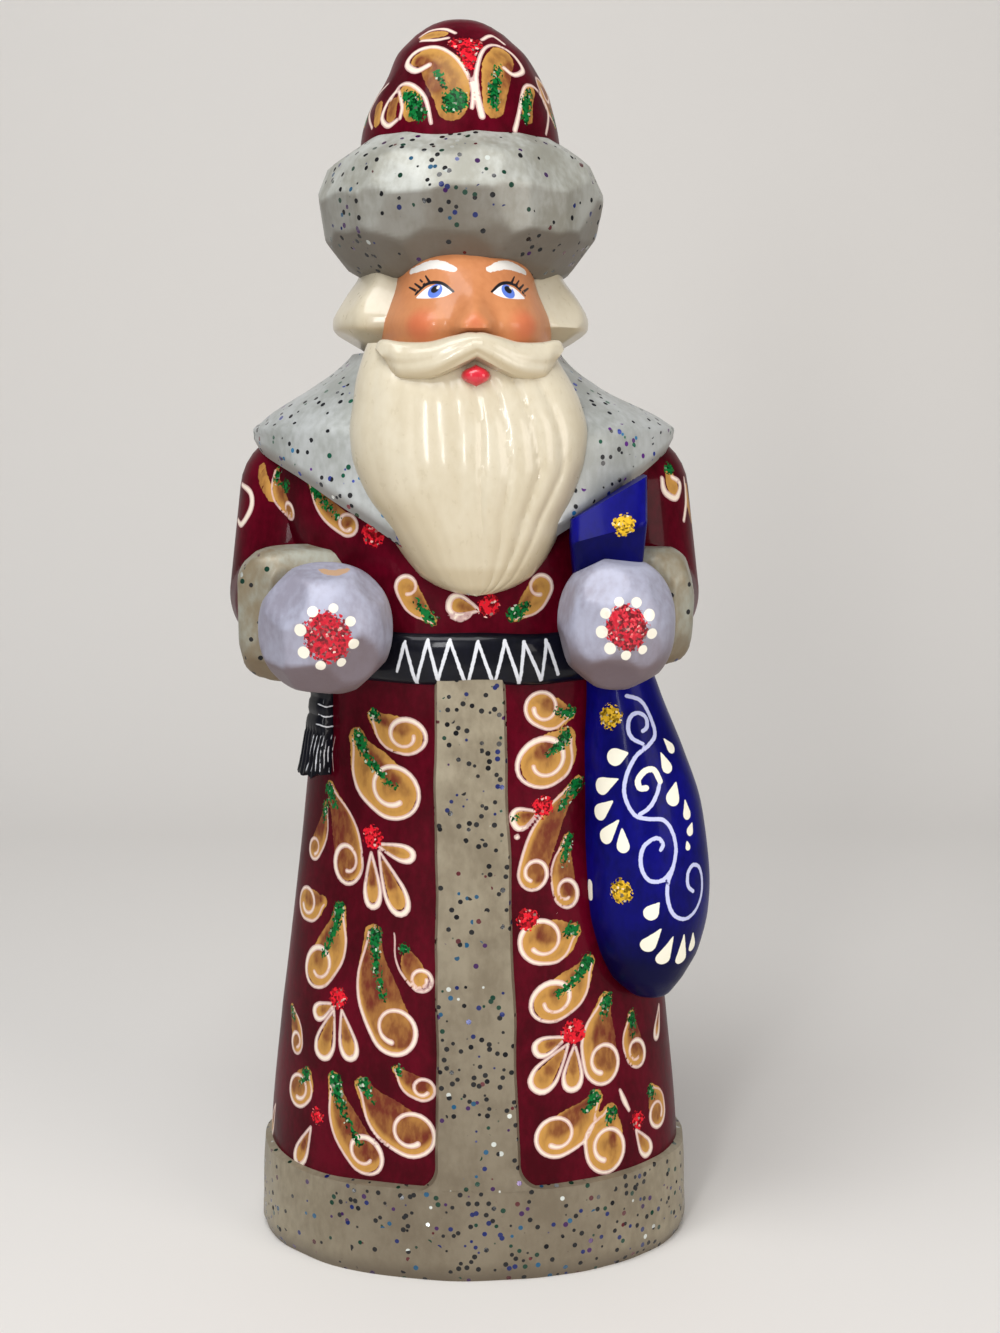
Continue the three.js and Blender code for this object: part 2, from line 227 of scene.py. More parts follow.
def read_points(mesh: bpy.types.Mesh) -> Array:
    """A mesh's points, one a row.

    Args:
        mesh: The mesh to read.

    Returns:
        The points.
    """
    flat = np.empty(len(mesh.vertices) * 3, np.float32)
    mesh.vertices.foreach_get("co", flat)
    return flat.reshape(-1, 3).astype(float)


def write_points(mesh: bpy.types.Mesh, points: Array) -> None:
    """Moves a mesh's points."""
    mesh.vertices.foreach_set("co", points.astype(np.float32).ravel())
    mesh.update()


def read_normals(mesh: bpy.types.Mesh) -> Array:
    """The direction out of the mesh at each point.

    Args:
        mesh: The mesh to read.

    Returns:
        The directions.
    """
    flat = np.empty(len(mesh.vertices) * 3, np.float32)
    mesh.vertex_normals.foreach_get("vector", flat)
    return flat.reshape(-1, 3).astype(float)


@dataclass(frozen=True)
class KnifeCuts:
    """Flat cuts of a carving knife all over a rounded form.

    Attributes:
        spacing: Distance between the middles of neighbouring cuts.
        depth: How far the middle of a cut lies under the smooth form.
        tilt: How unevenly the knife was held.
        crispness: How sharp the ridges between cuts stay under the paint.
        seed: Picks the places of the cuts.
        rows: The levels of the rows of cuts. Without any the cuts are spread evenly.
    """

    spacing: float
    depth: float
    tilt: float = 0.05
    crispness: float = 9.0
    seed: int = 1
    rows: tuple[float, ...] = ()

    def middles(self, points: Array, level: Array) -> list[int]:
        """The points that become the middles of the cuts.

        Args:
            points: Places, one a row.
            level: The level of each.

        Returns:
            Their numbers.
        """
        draw = np.random.default_rng(self.seed)
        picked = []
        for k, row in enumerate(self.rows):
            ring = np.flatnonzero(np.isclose(level, level[np.abs(level - row).argmin()]))
            spot = points[ring].mean(0)
            arms = points[ring] - spot
            side = np.linalg.svd(arms, full_matrices=False)[2]
            ring = ring[np.argsort(np.arctan2(arms @ side[1], arms @ side[0]))]
            steps = np.linalg.norm(np.diff(points[ring], axis=0, append=points[ring[:1]]), axis=1)
            run = np.cumsum(steps)
            count = max(4, round(run[-1] / self.spacing))
            marks = (np.arange(count) + 0.5 * (k % 2) + draw.uniform(-0.22, 0.22, count)) / count
            picked += [int(ring[np.searchsorted(run, mark % 1 * run[-1]) % len(ring)]) for mark in marks]
        if not self.rows:
            picked = [int(draw.integers(len(points)))]
            gap = np.linalg.norm(points - points[picked[0]], axis=1)
            while gap.max() > self.spacing:
                picked.append(int(gap.argmax()))
                gap = np.minimum(gap, np.linalg.norm(points - points[picked[-1]], axis=1))
        return picked

    def cut(self, points: Array, normals: Array, hearts: Array, level: Array) -> Array:
        """Cuts a rounded form.

        Args:
            points: The points of the form.
            normals: The direction out of the form at each.
            hearts: A place inside the form for each, towards which the knife may take it.
            level: The level of each.

        Returns:
            The points after the cuts.
        """
        draw = np.random.default_rng(self.seed + 1)
        picked = self.middles(points, level)
        facing = normals[picked] + draw.normal(scale=self.tilt, size=(len(picked), 3))
        facing /= np.linalg.norm(facing, axis=1, keepdims=True)
        sink = self.depth * (1 + draw.normal(scale=0.3, size=len(picked)))
        plane = (points[picked] * facing).sum(1) - sink
        arms = points - hearts
        reach = np.maximum(np.linalg.norm(arms, axis=1), 1e-6)
        along = (arms / reach[:, None]) @ facing.T
        room = plane[None] - hearts @ facing.T
        hits = np.where(along > 0.12, room / np.maximum(along, 0.12), 999.0)
        nearest = np.minimum(hits.min(1), reach)
        blur = np.exp(-self.crispness * np.clip(hits - nearest[:, None], 0, 30)).sum(1)
        softened = nearest - np.log(np.maximum(blur, 1.0)) / self.crispness
        return hearts + arms * (np.maximum(softened, 0.1) / reach)[:, None]


@dataclass(frozen=True)
class Form:
    """One form of the carving before the forms are joined.

    Attributes:
        name: What it is.
        finish: The finish it takes.
        levels: The levels of its rings.
        steps: Points in each ring.
        shape: Gives each point its place from its angle round the form, its share of the radius
            and its level. The angle is 0 at the front and grows towards +X.
        crowd: How much closer the rings' points stand at the front than behind, from 0 to 1.
        knife: The knife cuts, if it is cut flat all over.
        heart: Gives each point the place inside the form that the knife works towards.
    """

    name: str
    finish: Finish
    levels: Sequence[float]
    steps: int
    shape: Shape
    crowd: float = 0.0
    knife: KnifeCuts | None = None
    heart: Shape | None = None

    def make(self) -> bpy.types.Object:
        """Shapes the form and puts it in the scene.

        Returns:
            The object.
        """
        body = spun_blank(self.levels, self.steps)
        mesh = bpy.data.meshes.new(self.name)
        body.to_mesh(mesh)
        blank = read_points(mesh)
        share = np.hypot(blank[:, 0], blank[:, 1])
        angle = np.where(share > 0.5, np.arctan2(blank[:, 0], -blank[:, 1]), 0.0)
        angle -= self.crowd * np.sin(angle)
        points = self.shape(angle, share, blank[:, 2])
        write_points(mesh, points)
        if self.knife and self.heart:
            normals = read_normals(mesh)
            hearts = self.heart(angle, share, blank[:, 2])
            outward = np.sign(((points - hearts) * normals).sum(1).mean())
            write_points(mesh, self.knife.cut(points, normals * outward, hearts, blank[:, 2]))
        body.clear()
        body.from_mesh(mesh)
        bmesh.ops.remove_doubles(body, verts=body.verts, dist=1e-4)
        bmesh.ops.recalc_face_normals(body, faces=body.faces)
        body.to_mesh(mesh)
        body.free()
        mesh.materials.append(FINISHES[self.finish])
        return shown(self.name, mesh)


FINISHES: dict[Finish, bpy.types.Material] = {}


@dataclass(frozen=True)
class Coat:
    """The long coat, whose sections are ellipses, and the body under everything else."""

    half_widths: tuple[Pair, ...] = (
        (0, 32.0), (14, 31.4), (35, 29.3), (50, 27.4), (66, 25.4), (82, 23.8), (94, 24.4),
        (105, 27.0), (114, 28.6), (121, 26.4), (128, 17.2), (135, 13.0),
    )
    half_depths: tuple[Pair, ...] = (
        (0, 22.6), (14, 22.2), (35, 21.2), (50, 20.5), (66, 20.0), (82, 19.8), (94, 20.2),
        (105, 20.6), (114, 19.4), (121, 16.4), (128, 13.0), (135, 11.0),
    )
    upper_lean: float = -1.3
    waist: float = 86.0
    shoulder: float = 112.0
    unevenness: float = 0.13

    def lean(self, height: Array) -> Array:
        """How far the middle of the figure stands to one side."""
        return self.upper_lean * ease(self.waist, self.shoulder, height)

    def surface(self, angle: Array, height: Array, relief: Array | float = 0.0) -> Array:
        """Points on the coat, or proud of it by relief.

        Args:
            angle: Angles round the figure.
            height: Heights.
            relief: How far the points stand proud.

        Returns:
            The points, one a row.
        """
        wide = through(self.half_widths, height) + relief
        deep = through(self.half_depths, height) + relief
        plain = stack(self.lean(height) + wide * np.sin(angle), -deep * np.cos(angle), height)
        swell = self.unevenness * wobble(plain * (1, 1, 0.5), 11.0, 3)
        return plain + swell[..., None] * stack(np.sin(angle), -np.cos(angle), 0 * angle)

    def girth(self, height: Array) -> tuple[Array, Array]:
        """The mean radius and the flatness of the section at a height."""
        wide, deep = through(self.half_widths, height), through(self.half_depths, height)
        return np.sqrt((wide**2 + deep**2) / 2), (wide**2 - deep**2) / (wide**2 + deep**2)

    def along(self, angle: Array, height: Array) -> Array:
        """Distance round the coat from the middle of the front.

        Args:
            angle: Angles round the figure.
            height: Heights.

        Returns:
            The distances.
        """
        mean, flat = self.girth(height)
        return mean * (
            (1 - flat**2 / 16) * angle + flat / 4 * np.sin(2 * angle) - flat**2 / 64 * np.sin(4 * angle)
        )

    def angle_at(self, along: Array, height: Array) -> Array:
        """The angle at a distance round the coat.

        Args:
            along: Distances round the coat.
            height: Heights.

        Returns:
            The angles.
        """
        mean, _ = self.girth(height)
        angle = along / mean
        for _ in range(4):
            angle = angle + (along - self.along(angle, height)) / mean
        return angle

    def forms(self) -> list[Form]:
        """The coat itself.

        Returns:
            The forms.
        """
        levels = [0.0, 6.0, 11.5, *even(12.5, 119.5, 0.88), 122.0, 126.0, 131.0, 135.0]

        def shape(angle: Array, share: Array, height: Array) -> Array:
            """Places the points of the blank."""
            return cored(share, self.surface(angle, height), stack(0, 0, height))

        return [Form("coat", Finish.COAT, levels, 156, shape, crowd=0.3)]


COAT = Coat()


@dataclass(frozen=True)
class FurTrim:
    """The fur band round the hem and the fur strip down the front, both cut with a slope at the edge."""

    relief: float = 0.95
    slope: float = 0.8
    hem_top: float = 14.3
    strip_left: float = -5.7
    strip_right_low: float = 6.8
    strip_right_top: float = 4.4
    strip_top: float = 90.0
    corner: float = 3.6
    tuck: float = 0.7
    flank: float = math.radians(100)
    flank_end: float = math.radians(110)
    behind: float = math.radians(121)

    def hem(self) -> Form:
        """The band round the hem.

        Returns:
            The form.
        """
        crest = self.hem_top - self.slope
        levels = [0.0, 0.5, *even(1.6, crest, 1.5), self.hem_top, self.hem_top + 0.3]

        def shape(angle: Array, share: Array, height: Array) -> Array:
            """Places the points of the blank."""
            edge = 0.35 * band_wobble(angle, 8, 0.0, 6.0, 21)
            place = height + edge * ease(crest - 4, crest, height)
            proud = self.relief * (1 - ease(crest - 0.01, self.hem_top, height) * 1.2)
            proud = proud - self.tuck * ease(2.2, 0.0, height) ** 2
            proud = np.where(height > self.hem_top, -1.5, proud)
            proud = proud + 0.12 * band_wobble(angle, 9, height / 3, 3.0, 5)
            fur = COAT.surface(angle, place, proud)
            return cored(share, fur, stack(0, 0, height))

        return Form("fur_hem", Finish.TRIM, levels, 180, shape, crowd=0.2)

    def strip(self) -> Form:
        """The strip down the front, which spreads into the hem with round corners.

        Returns:
            The form.
        """
        low = self.hem_top - self.slope
        levels = [low - 1.2, low - 0.6, *even(low, low + self.corner + 0.8, 0.3)]
        levels += even(low + self.corner + 2, self.strip_top, 1.2)

        def shape(angle: Array, share: Array, height: Array) -> Array:
            """Places the points of the blank."""
            rise = np.clip(1 - (height - low) / self.corner, 0, 1)
            spread = self.corner * (1 - np.sqrt(np.clip(1 - rise**2, 0, 1)))
            along = (height - low) / (self.strip_top - low)
            left = self.strip_left - spread + 0.10 * np.sin(height / 4.1) + 0.04 * np.sin(height / 1.7)
            right = self.strip_right_low + (self.strip_right_top - self.strip_right_low) * along
            right = right + spread + 0.10 * np.sin(height / 3.3 + 2) + 0.04 * np.sin(height / 1.9)
            front = np.abs(angle) < self.behind
            across = np.clip(angle / self.flank, -1, 1)
            foot = ease(self.flank + math.radians(0.5), self.flank_end, np.abs(angle))
            middle, half = (left + right) / 2, (right - left) / 2 - self.slope * (1 - foot) * 0.9
            x = middle + half * across
            proud = np.where(front, self.relief * (1 - foot) - 0.3 * foot, -6.0)
            proud = proud - 1.5 * ease(low, low - 0.6, height)
            proud = proud + 0.10 * wobble(stack(x, 0 * x, height), 5.0, 8) * (proud > 0)
            lean = COAT.lean(height)
            turn = np.arcsin(np.clip((x - lean) / through(COAT.half_widths, height), -1, 1))
            fur = COAT.surface(turn, height, proud)
            return cored(share, fur, stack(middle, -17.0, height))

        return Form("fur_strip", Finish.TRIM, levels, 72, shape)

    def forms(self) -> list[Form]:
        """Both pieces of trim."""
        return [self.hem(), self.strip()]


@dataclass(frozen=True)
class Belt:
    """The belt, and the fringed end of the sash at the figure's right hip."""

    bottom: float = 86.2
    width: float = 7.6
    relief: float = 1.3
    sash_angle: float = math.radians(-64.5)
    sash_top: float = 87.0
    sash_length: float = 15.2
    sash_width: float = 6.4
    sash_thickness: float = 2.3
    sash_flank: float = math.radians(98)
    sash_behind: float = math.radians(100)

    def band(self) -> Form:
        """The belt itself.

        Returns:
            The form.
        """
        shares = (0, 0.06, *np.linspace(0.14, 0.86, 11), 0.94, 1)
        levels = [self.bottom + self.width * share for share in shares]

        def shape(angle: Array, share: Array, height: Array) -> Array:
            """Places the points of the blank."""
            part = (height - self.bottom) / self.width
            proud = self.relief * (1 - np.abs(2 * part - 1) ** 5) - 0.4 * (np.abs(2 * part - 1) > 0.97)
            edge = 0.3 * band_wobble(angle, 9, 0.0, 7.0, 31)
            belt = COAT.surface(angle, height + edge, proud)
            return cored(share, belt, stack(0, 0, height))

        return Form("belt", Finish.BELT, levels, 210, shape, crowd=0.45)

    def sash_end(self) -> Form:
        """The hanging end, with a fringe cut along its lower edge.

        Returns:
            The form.
        """
        bottom = self.sash_top - self.sash_length
        levels = even(bottom, self.sash_top, 0.4)

        def shape(angle: Array, share: Array, height: Array) -> Array:
            """Places the points of the blank."""
            fall = (self.sash_top - height) / self.sash_length
            gathered = 0.12 * np.sin(math.pi * np.clip(fall * 1.7, 0, 1))
            half = self.sash_width / 2 * (0.82 - gathered + 0.3 * fall**2)
            across = np.clip(angle / self.sash_flank, -1, 1)
            outer = np.abs(angle) < self.sash_behind
            fringe = ease(0.52, 0.62, fall)
            cut = 0.35 * fringe * np.abs(np.sin(across * math.pi * 3.2 + 0.3 * np.sin(height))) ** 6
            knots = 0.25 * (1 - fringe) * np.abs(np.sin(fall * math.pi * 6)) ** 8
            edge = 0.8 * np.abs(across) ** 6
            proud = np.where(outer, self.sash_thickness * (0.8 + 0.3 * fall) - cut - knots - edge, -3.0)
            ragged = 0.5 * np.sin(across * 9) * ease(0.9, 1.0, fall)
            turn = COAT.angle_at(
                COAT.along(self.sash_angle, height) + across * half - 0.8 * fall, height
            )
            cloth = COAT.surface(turn, height + ragged, proud)
            middle = COAT.surface(self.sash_angle + 0 * height, height, 0.0)
            return cored(share, cloth, middle)

        return Form("sash_end", Finish.BELT, levels, 60, shape)

    def forms(self) -> list[Form]:
        """The belt and the sash end."""
        return [self.band(), self.sash_end()]


@dataclass(frozen=True)
class Collar:
    """The wide fur collar, cut in a V in front and in a shallower one behind, with a sloped edge.

    Attributes:
        half_widths: Heights and half widths of the fur.
        half_depths: Heights and half depths of the fur.
        tip: The height of its two points.
        shift: How far its top stands to one side of the coat.
        front_drop: How far the V goes down in front.
        back_drop: How far the V goes down behind.
        bevel: The height of the sloped edge.
        neck: The height of its upper edge.
    """

    half_widths: tuple[Pair, ...] = (
        (98, 30.5), (120.4, 30.5), (122.4, 29.6), (128.2, 20.0), (132.5, 14.8), (135, 13.0),
    )
    half_depths: tuple[Pair, ...] = ((98, 23.4), (120.4, 21.8), (122.4, 20.6), (132.5, 15.0), (135, 11.0))
    tip: float = 120.4
    shift: float = -1.1
    front_drop: float = 19.5
    back_drop: float = 9.5
    bevel: float = 1.9
    neck: float = 132.4

    def forms(self) -> list[Form]:
        """The collar, whose lower rings follow its edge.

        Returns:
            The forms.
        """

        def shape(angle: Array, share: Array, down: Array) -> Array:
            """Places the points of the blank."""
            side = np.abs(np.sin(angle))
            front = self.front_drop - 2.4 * ease(0.0, -0.5, np.sin(angle))
            drop = np.where(np.cos(angle) > 0, front, self.back_drop)
            edge = self.tip - drop * (1 - side) - 0.25 * band_wobble(angle, 8, 0.0, 5, 41)
            level = self.neck + (edge - self.neck) * np.clip(down, 0, 1) ** 0.9
            slope = np.clip(down - 1, 0, 1)
            level = level - self.bevel * slope
            relief = 0.25 - 1.0 * slope + 0.14 * band_wobble(angle, 9, level / 2, 4, 6)
            wide = through(self.half_widths, level) + relief
            deep = through(self.half_depths, level) + relief
            lean = COAT.lean(level) + self.shift * ease(122.0, 127.0, level)
            fur = stack(lean + wide * np.sin(angle), -deep * np.cos(angle), level)
            inside = stack(COAT.upper_lean, 0, np.where(down > 1, 111.0, self.neck))
            return cored(share, fur, inside)

        levels = [*np.linspace(0, 1, 24), 1.5, 2.0]
        return [Form("collar", Finish.FUR, levels, 148, shape)]


@dataclass(frozen=True)
class Joint:
    """A joint of an arm: how far it stands to the side and forward, its height and its radius."""

    side: float
    forward: float
    height: float
    radius: float

    def place(self, hand: int) -> Array:
        """Where it is, for the figure's right arm (-1) or left arm (+1)."""
        return np.array((COAT.upper_lean + hand * self.side, -self.forward, self.height))


@dataclass(frozen=True)
class Arm:
    """An arm bent forward: the sleeve, a thick fur cuff and a mitten.

    Attributes:
        hand: -1 for the figure's right arm, +1 for its left.
        wrist: The middle of the cuff.
        cuff_radius: The radius of the cuff.
        mitten: The middle of the mitten.
        mitten_half: Its half width, depth and height.
    """

    hand: int
    wrist: Joint
    cuff_radius: float
    mitten: Triple
    mitten_half: Triple
    shoulder: Joint = Joint(24.2, -1, 112.5, 9.0)
    elbow: Joint = Joint(25.4, -1, 97.5, 9.6)
    forearm: Joint = Joint(24.4, 5, 97.0, 9.2)
    cuff_length: float = 6.8
    squareness: float = 0.9
    cuff_squareness: float = 3.4

    def limb(self, name: str, first: Joint, last: Joint) -> Form:
        """A rounded stretch of sleeve between two joints.

        Args:
            name: What it is called.
            first: The joint it starts at.
            last: The joint it ends at.

        Returns:
            The form.
        """
        start, end = first.place(self.hand), last.place(self.hand)
        length = float(np.linalg.norm(end - start))
        axis = (end - start) / length
        across = np.cross(axis, (0, 1, 0) if abs(axis[2]) > 0.7 else (0, 0, 1))
        across /= np.linalg.norm(across)
        other = np.cross(axis, across)
        caps = [math.sin(a) for a in np.linspace(-math.pi / 2, 0, 9)[1:]]
        levels = [*caps, *np.linspace(0.05, 0.95, round(length / 0.8)), *(1 - cap for cap in reversed(caps))]

        def shape(angle: Array, share: Array, level: Array) -> Array:
            """Places the points of the blank."""
            part = np.clip(level, 0, 1)
            radius = first.radius + (last.radius - first.radius) * part
            over = np.clip(level, None, 0) + np.clip(level - 1, 0, None)
            ring = radius * np.sqrt(np.clip(1 - over**2, 0, 1)) * share
            middle = start + axis * (length * part + radius * over)[:, None]
            return middle + ring[:, None] * about(angle, across, other)

        return Form(name, Finish.COAT, levels, 72, shape)

    def cuff(self) -> Form:
        """The fur cuff, a thick ring round the wrist.

        Returns:
            The form.
        """
        start, end = self.elbow.place(self.hand), self.wrist.place(self.hand)
        axis = (end - start) / np.linalg.norm(end - start)
        across = np.cross(axis, (0, 0, 1))
        across /= np.linalg.norm(across)
        other = np.cross(axis, across)
        outline = (
            (-0.5, 0.84), (-0.5, 0.95), (-0.3, 1.0), (0.16, 1.0), (0.46, 0.86), (0.52, 0.68), (0.5, 0.5),
        )
        reach = tuple((float(row), out) for row, (out, _) in enumerate(outline))
        girth = tuple((float(row), wide) for row, (_, wide) in enumerate(outline))

        def spot(angle: Array, level: Array, radius: Array) -> Array:
            """A place on a squarish ring round the cuff's axis."""
            middle = end + axis * (self.cuff_length * through(reach, level))[:, None]
            radius = radius * 0.95 * squared(angle, self.cuff_squareness)
            return middle + radius[:, None] * about(angle, across, other)

        def shape(angle: Array, share: Array, level: Array) -> Array:
            """Places the points of the blank."""
            return spot(angle, level, self.cuff_radius * through(girth, level) * share)

        def heart(angle: Array, share: Array, level: Array) -> Array:
            """The places that the knife works towards."""
            inside = spot(angle, 0 * level + 3.2, 0.45 * self.cuff_radius * share)
            return cored(share, inside, shape(angle, share, level))

        name = "right_cuff" if self.hand < 0 else "left_cuff"
        knife = KnifeCuts(7.0, 0.35, 0.07, 20.0, 30 + self.hand, rows=(1.0, 2.5, 4.1))
        return Form(name, Finish.CUFF, even(0, 6, 0.25), 96, shape, knife=knife, heart=heart)

    def glove(self) -> Form:
        """The mitten, a squarish ball cut flat all over.

        Returns:
            The form.
        """
        centre, half = np.array(self.mitten), self.mitten_half

        def squarish(value: Array) -> Array:
            """Pushes a sine towards the corners of a square."""
            return np.sign(value) * np.abs(value) ** self.squareness

        def shape(angle: Array, share: Array, level: Array) -> Array:
            """Places the points of the blank."""
            ring = squarish(np.cos(level)) * share
            x, y = squarish(np.sin(angle)), squarish(np.cos(angle))
            return centre + stack(half[0] * ring * x, -half[1] * ring * y, half[2] * squarish(np.sin(level)))

        def heart(angle: Array, share: Array, level: Array) -> Array:
            """The places that the knife works towards."""
            return centre + stack(0 * angle, 0 * share, 0 * level)

        name = "right_mitten" if self.hand < 0 else "left_mitten"
        levels = [math.radians(a) for a in even(-88, 88, 3.6)]
        knife = KnifeCuts(5.2, 0.5, 0.06, 20.0, 50 + self.hand)
        return Form(name, Finish.MITTEN, levels, 100, shape, crowd=0.25, knife=knife, heart=heart)

    def forms(self) -> list[Form]:
        """Everything from the shoulder to the hand.

        Returns:
            The forms.
        """
        side = "right" if self.hand < 0 else "left"
        return [
            self.limb(f"{side}_upper_sleeve", self.shoulder, self.elbow),
            self.limb(f"{side}_forearm", self.elbow, self.forearm),
            self.cuff(),
            self.glove(),
        ]


@dataclass(frozen=True)
class Sack:
    """The sack under the left mitten and its gathered mouth above it."""

    sides: tuple[Pair, ...] = (
        (38.8, 25.8), (39.8, 25.7), (42.6, 25.2), (46.5, 25.2), (52, 25.05),
        (60, 24.75), (69, 24.05), (77, 22.65), (84, 21.3), (92, 19.8),
    )
    radii: tuple[Pair, ...] = (
        (38.8, 0.0), (39.8, 2.8), (42.6, 5.4), (46.5, 7.5), (52, 8.85), (60, 9.25),
        (69, 8.55), (77, 7.25), (84, 5.6), (92, 4.6),
    )
    forward: float = 12.5
    depth_ratio: float = 1.08
    mouth_side: float = 18.5
    mouth_forward: float = 18.6

    def body(self) -> Form:
        """The hanging bag.

        Returns:
            The form.
        """
        bottom, top = self.radii[0][0], self.radii[-1][0]
        levels = [bottom + (top - bottom) * share**1.4 for share in np.linspace(0.004, 1, 60)]

        def shape(angle: Array, share: Array, height: Array) -> Array:
            """Places the points of the blank."""
            radius = np.maximum(through(self.radii, height), 0.05) * share
            swell = 1 + 0.012 * band_wobble(angle, 6, height / 2, 5.0, 61)
            return stack(
                through(self.sides, height) + radius * swell * np.sin(angle),
                -self.forward - radius * swell * self.depth_ratio * np.cos(angle),
                height,
            )

        return Form("sack", Finish.SACK, levels, 84, shape, crowd=0.25)

    def mouth(self) -> Form:
        """The mouth of the sack, cut in a few big planes.

        Returns:
            The form.
        """
        ridge, squareness = 107.9, 9.0

        def shape(angle: Array, share: Array, level: Array) -> Array:
            """Places the points of the blank."""
            wide = np.interp(level, (-1, 0, 1), (4.4, 5.2, 5.2))
            deep = np.interp(level, (-1, 0, 1), (2.8, 5.6, 3.8))
            reach = squared(angle, squareness)
            x = reach * np.sin(angle) * wide * share
            y = reach * np.cos(angle) * deep * share
            above, below = np.clip(level, 0, 1), np.clip(level, -1, 0)
            height = ridge + 0.27 * x + above * (4.6 + 0.31 * x) + below * (9.0 + 0.27 * x)
            return stack(self.mouth_side + x, -self.mouth_forward - y, height)

        return Form("sack_mouth", Finish.SACK, even(-1, 1, 0.05), 72, shape)

    def forms(self) -> list[Form]:
        """The bag and its mouth."""
        return [self.body(), self.mouth()]


@dataclass(frozen=True)
class Beard:
    """The long beard, shaped like a shovel and fluted from the moustache to its tip."""

    half_widths: tuple[Pair, ...] = (
        (99.1, 0.0), (99.4, 3.4), (100.2, 5.7), (101.5, 7.9), (103.9, 9.8), (106.6, 11.4), (109.4, 12.7),
        (112.1, 14.2),
        (114.9, 15.3), (117.6, 16.1), (121.7, 16.4), (125.7, 15.6), (128.4, 14.7), (131.8, 13.2),
        (135, 12.0),
    )
    fronts: tuple[Pair, ...] = (
        (99.2, 22.6), (100.2, 23.7), (103, 24.9), (108, 26.0), (114, 26.7), (120.5, 26.6), (127, 25.5),
        (133, 22.6), (135, 19.0),
    )
    back: float = 17.0
    flank: float = math.radians(118)
    offsets: tuple[Pair, ...] = (
        (99.3, 0.4), (106.6, 0.15), (112, -0.45), (117, -0.65), (121.7, -0.65), (125.7, -0.9),
        (128.4, -1.4), (131.8, -1.9), (135, -2.0),
    )
    grooves: tuple[tuple[float, float, float, float, float], ...] = (
        (-0.82, -0.80, -0.68, 0.14, 0.06), (-0.60, -0.58, -0.50, 0.09, 0.06),
        (-0.45, -0.43, -0.34, 0.12, 0.06),
        (-0.26, -0.25, -0.20, 0.16, 0.05), (-0.12, -0.08, -0.06, 0.32, 0.05),
        (0.04, 0.12, 0.08, 0.58, 0.05),
        (0.20, 0.36, 0.24, 0.66, 0.055), (0.42, 0.60, 0.42, 0.72, 0.055), (0.62, 0.80, 0.60, 0.55, 0.05),
    )

    def flutes(self, across: Array, height: Array) -> Array:
        """How deep the surface lies under the smooth beard: sharp grooves between full locks.

        Args:
            across: Places across the beard, from -1 to 1.
            height: Heights.

        Returns:
            The depths.
        """
        fall = np.clip((133 - height) / 34, 0, 1)
        deep = np.zeros_like(across)
        for top, middle, low, depth, width in self.grooves:
            line = np.interp(fall, (0, 0.5, 1), (top, middle, low)) + 0.012 * np.sin(7 * fall + 9 * top)
            gap = np.abs(across - line)
            shallow = 1 - 0.5 * ease(0.6, 1, fall)
            deep += depth * np.exp(-gap / width) * ease(0, 0.16, fall + 0.05) * shallow
        return deep

    def forms(self) -> list[Form]:
        """The beard, flat behind and full in front.

        Returns:
            The forms.
        """
        low = self.half_widths[0][0]
        levels = [low + 34.3 * share**1.25 for share in np.linspace(0.004, 1, 58)]

        def shape(angle: Array, share: Array, height: Array) -> Array:
            """Places the points of the blank."""
            across = np.clip(angle / self.flank, -1, 1)
            inside = np.abs(angle) > self.flank
            spread = np.sin(across * math.pi / 2)
            half = np.maximum(through(self.half_widths, height), 0.02)
            bulge = np.clip(1 - np.abs(spread) ** 2.5, 0, 1) ** (1 / 2.3)
            front = through(self.fronts, height) - self.back
            deep = front * bulge - self.flutes(spread, height) * np.minimum(1, 3 * bulge)
            y = np.where(inside, -self.back + 2.0, -self.back - np.maximum(deep, 0.0))
            behind = np.sign(angle) * np.interp(np.abs(angle), (self.flank, math.pi), (1, 0))
            x = np.where(inside, behind, spread)
            middle = through(self.offsets, height)
            hair = stack(middle + half * x, y, height)
            return cored(share, hair, stack(middle, -self.back, height))

        return [Form("beard", Finish.HAIR, levels, 140, shape)]


